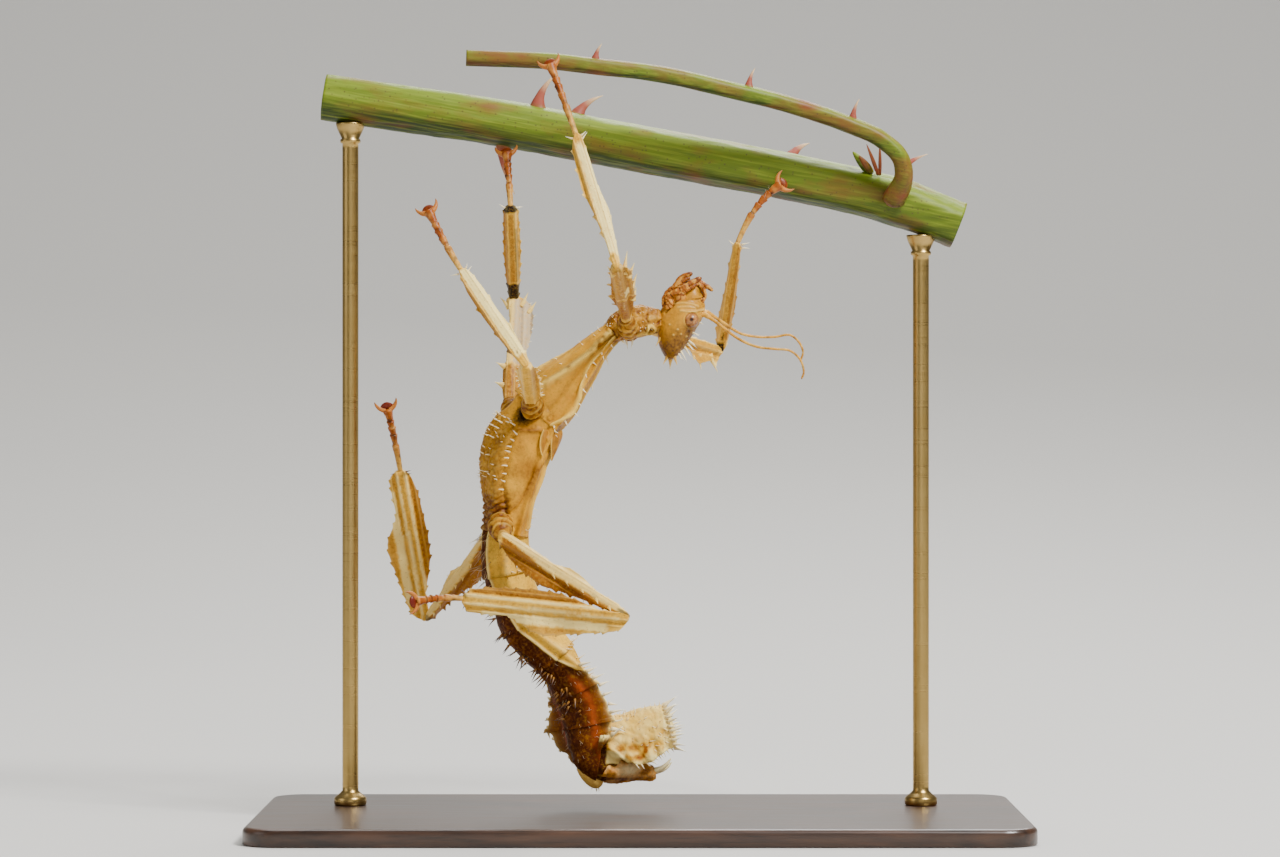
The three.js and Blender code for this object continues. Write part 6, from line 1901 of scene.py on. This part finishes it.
RIM_ROWS = np.arange(18.7, 22.9, 0.36)
BACK_ROWS = np.arange(20.0, 23.2, 0.4)
EAVES_ROWS = np.arange(24.6, 27.0, 0.24)
ROOF_ROWS = np.arange(24.5, 26.9, 0.22)
FLAP_SPINES = [(-7.4, 0.2, 6.6), (-7.0, -0.4, 6.9), (-8.0, -0.5, 7.2)]
grow_on("dark", ABDOMEN_SECTION, scattered(26, (14.5, 21.5), (0.0, 0.14)), 2.0, 0.2, 0.35, 0.25)
grow_on("dark", ABDOMEN_SECTION, crossed((12.9, 13.3, 13.7, 14.1, 14.5, 14.9, 15.3), 0.5), 0.5, 0.12, 0.5)
for end_row in (13.9, 15.9, 17.9, 19.6, 21.1):
    end_marks = crossed(end_row, (0.56, 0.66, 0.76, 0.88, 0.97))
    grow_on("cream", ABDOMEN_SECTION, end_marks, 1.9, 0.17, 0.25, 0.3)
grow_on("cream", ABDOMEN_SECTION, scattered(12, (18.2, 19.8), (0.6, 1.0)), 1.6, 0.15, 0.1, 0.3)
grow_on("cream", ABDOMEN_SECTION, crossed(RIM_ROWS, 0.5), 2.5, 0.32, 0.2, 0.25, lobe_widths, lift=1.0)
grow_on("cream", ABDOMEN_SECTION, crossed(BACK_ROWS, (0.66, 0.8, 0.95)), 1.4, 0.15, 0.3, 0.3)
grow_on("cream", TAIL_SECTION, crossed(EAVES_ROWS, EAVES_FOLD), 1.1, 0.16, 0.4, 0.3, lobe_widths, lift=-0.6)
grow_on("cream", TAIL_SECTION, scattered(18, (25.4, 27.0), (0.4, 0.9)), 1.0, 0.13, 0.9, 0.3, lobe_widths)
grow_on("cream", TAIL_SECTION, scattered(12, (24.6, 25.6), (0.4, 0.9)), 0.6, 0.11, 0.5, 0.3, lobe_widths)
grow_on("cream", TAIL_SECTION, crossed(ROOF_ROWS, 0.93), 0.9, 0.13, 0.6, 0.3)
grow_on("cream", TAIL_SECTION, crossed(26.9, np.arange(0.34, 1.0, 0.06)), 2.7, 0.34, 2.0, 0.25, lobe_widths)
grow("cream", FLAP_SPINES, (0.0, -0.3, -1.0), 1.0, 0.14)
grow_on("hair", ABDOMEN_SECTION, scattered(30, (12.7, 15.2), (0.02, 0.26)), 2.6, 0.06, 0.7, 0.3)
grow_on("hair", ABDOMEN_SECTION, scattered(48, (15.0, 22.8), (0.02, 0.45)), 0.9, 0.03, 0.9, 0.5)

HEAD_SPINES = [  # root and tip on the left side
    ((8.9, -1.2, 84.3), (10.0, -1.4, 83.9)), ((8.3, -1.2, 82.9), (9.5, -1.4, 82.0)),
    ((8.1, -1.0, 82.4), (9.2, -1.2, 81.2)), ((7.6, -0.9, 81.8), (8.6, -1.1, 80.5)),
    ((6.9, -0.8, 81.2), (7.8, -1.0, 79.9)), ((6.4, -0.7, 80.9), (7.1, -0.9, 79.8)),
    ((9.8, -0.9, 86.2), (10.5, -1.1, 85.7)),
]
for root, tip in HEAD_SPINES:
    reach = np.subtract(tip, root)
    for mirror in ((1, 1, 1), (1, -1, 1)):
        grow("cream", np.multiply(root, mirror), reach * mirror, np.linalg.norm(reach) * 1.3, 0.2, 0.08)

SPURS = ((-0.2, 1), (-0.9, 1), (-0.3, -1))  # millimetres past the ankle, and the side
for word, leg in LEGS.items():
    hip, knee, ankle, toe = (np.array(point, float) for point in leg["points"][1:])
    bend, foot_way, shin_way = np.array(leg["bend"]), unit(toe - ankle), unit(ankle - knee)
    for place in np.linspace(0.15, 0.9, 12):
        point = ankle * (1 - place) ** 2 + 2 * bend * place * (1 - place) + toe * place ** 2
        off = unit(np.cross(foot_way, chance.normal(0, 1, 3)))
        grow("hair", point + off * 0.4, off + foot_way * 0.8, 0.9, 0.035)
    across = unit(np.cross(ankle - knee, (0, -1, 0)))
    for step, hand in SPURS:
        spur_root = ankle + shin_way * step + across * (0.75 * hand)
        grow("dark" if "hind" in word else "cream", spur_root, across * hand + shin_way * 0.5, 1.5, 0.2)
    along, across, _ = blade_axes(hip, knee, leg["thigh"]["side"])
    for place in np.linspace(0.2, 0.95, 7):
        for hand, rim in ((1, "first"), (-1, "second")):
            width = np.interp(place, *np.transpose(leg["thigh"][rim]))
            rim_root = hip + (knee - hip) * place + across * (hand * width)
            grow("cream", rim_root, across * hand + along, 0.6, 0.1)

SPINE_KINDS = {  # shell, how far the tips bend over, and slot
    "cream": (spine_shell("cream spine", ["#f0d89c", "#f6e6b8", "#fdf8e0"], 0.42), 1.2, "straw_plate"),
    "dark": (
        spine_shell("black-tipped spine", ["#a8742e", "#4a2a12", "#0f0906"], 0.35), 1.5, "abdomen_plate",
    ),
    "hair": (spine_shell("white hair", ["#8a6a3c", "#cdbb93", "#eee4c8"], 0.5), 7.0, "abdomen_plate"),
}
for seed, (kind, (material, bend, slot)) in enumerate(SPINE_KINDS.items(), start=5):
    spines = planted_piece(f"{kind}_spines", np.vstack(spine_rows[kind]), material, seed, bend)
    settle(spines, slot)
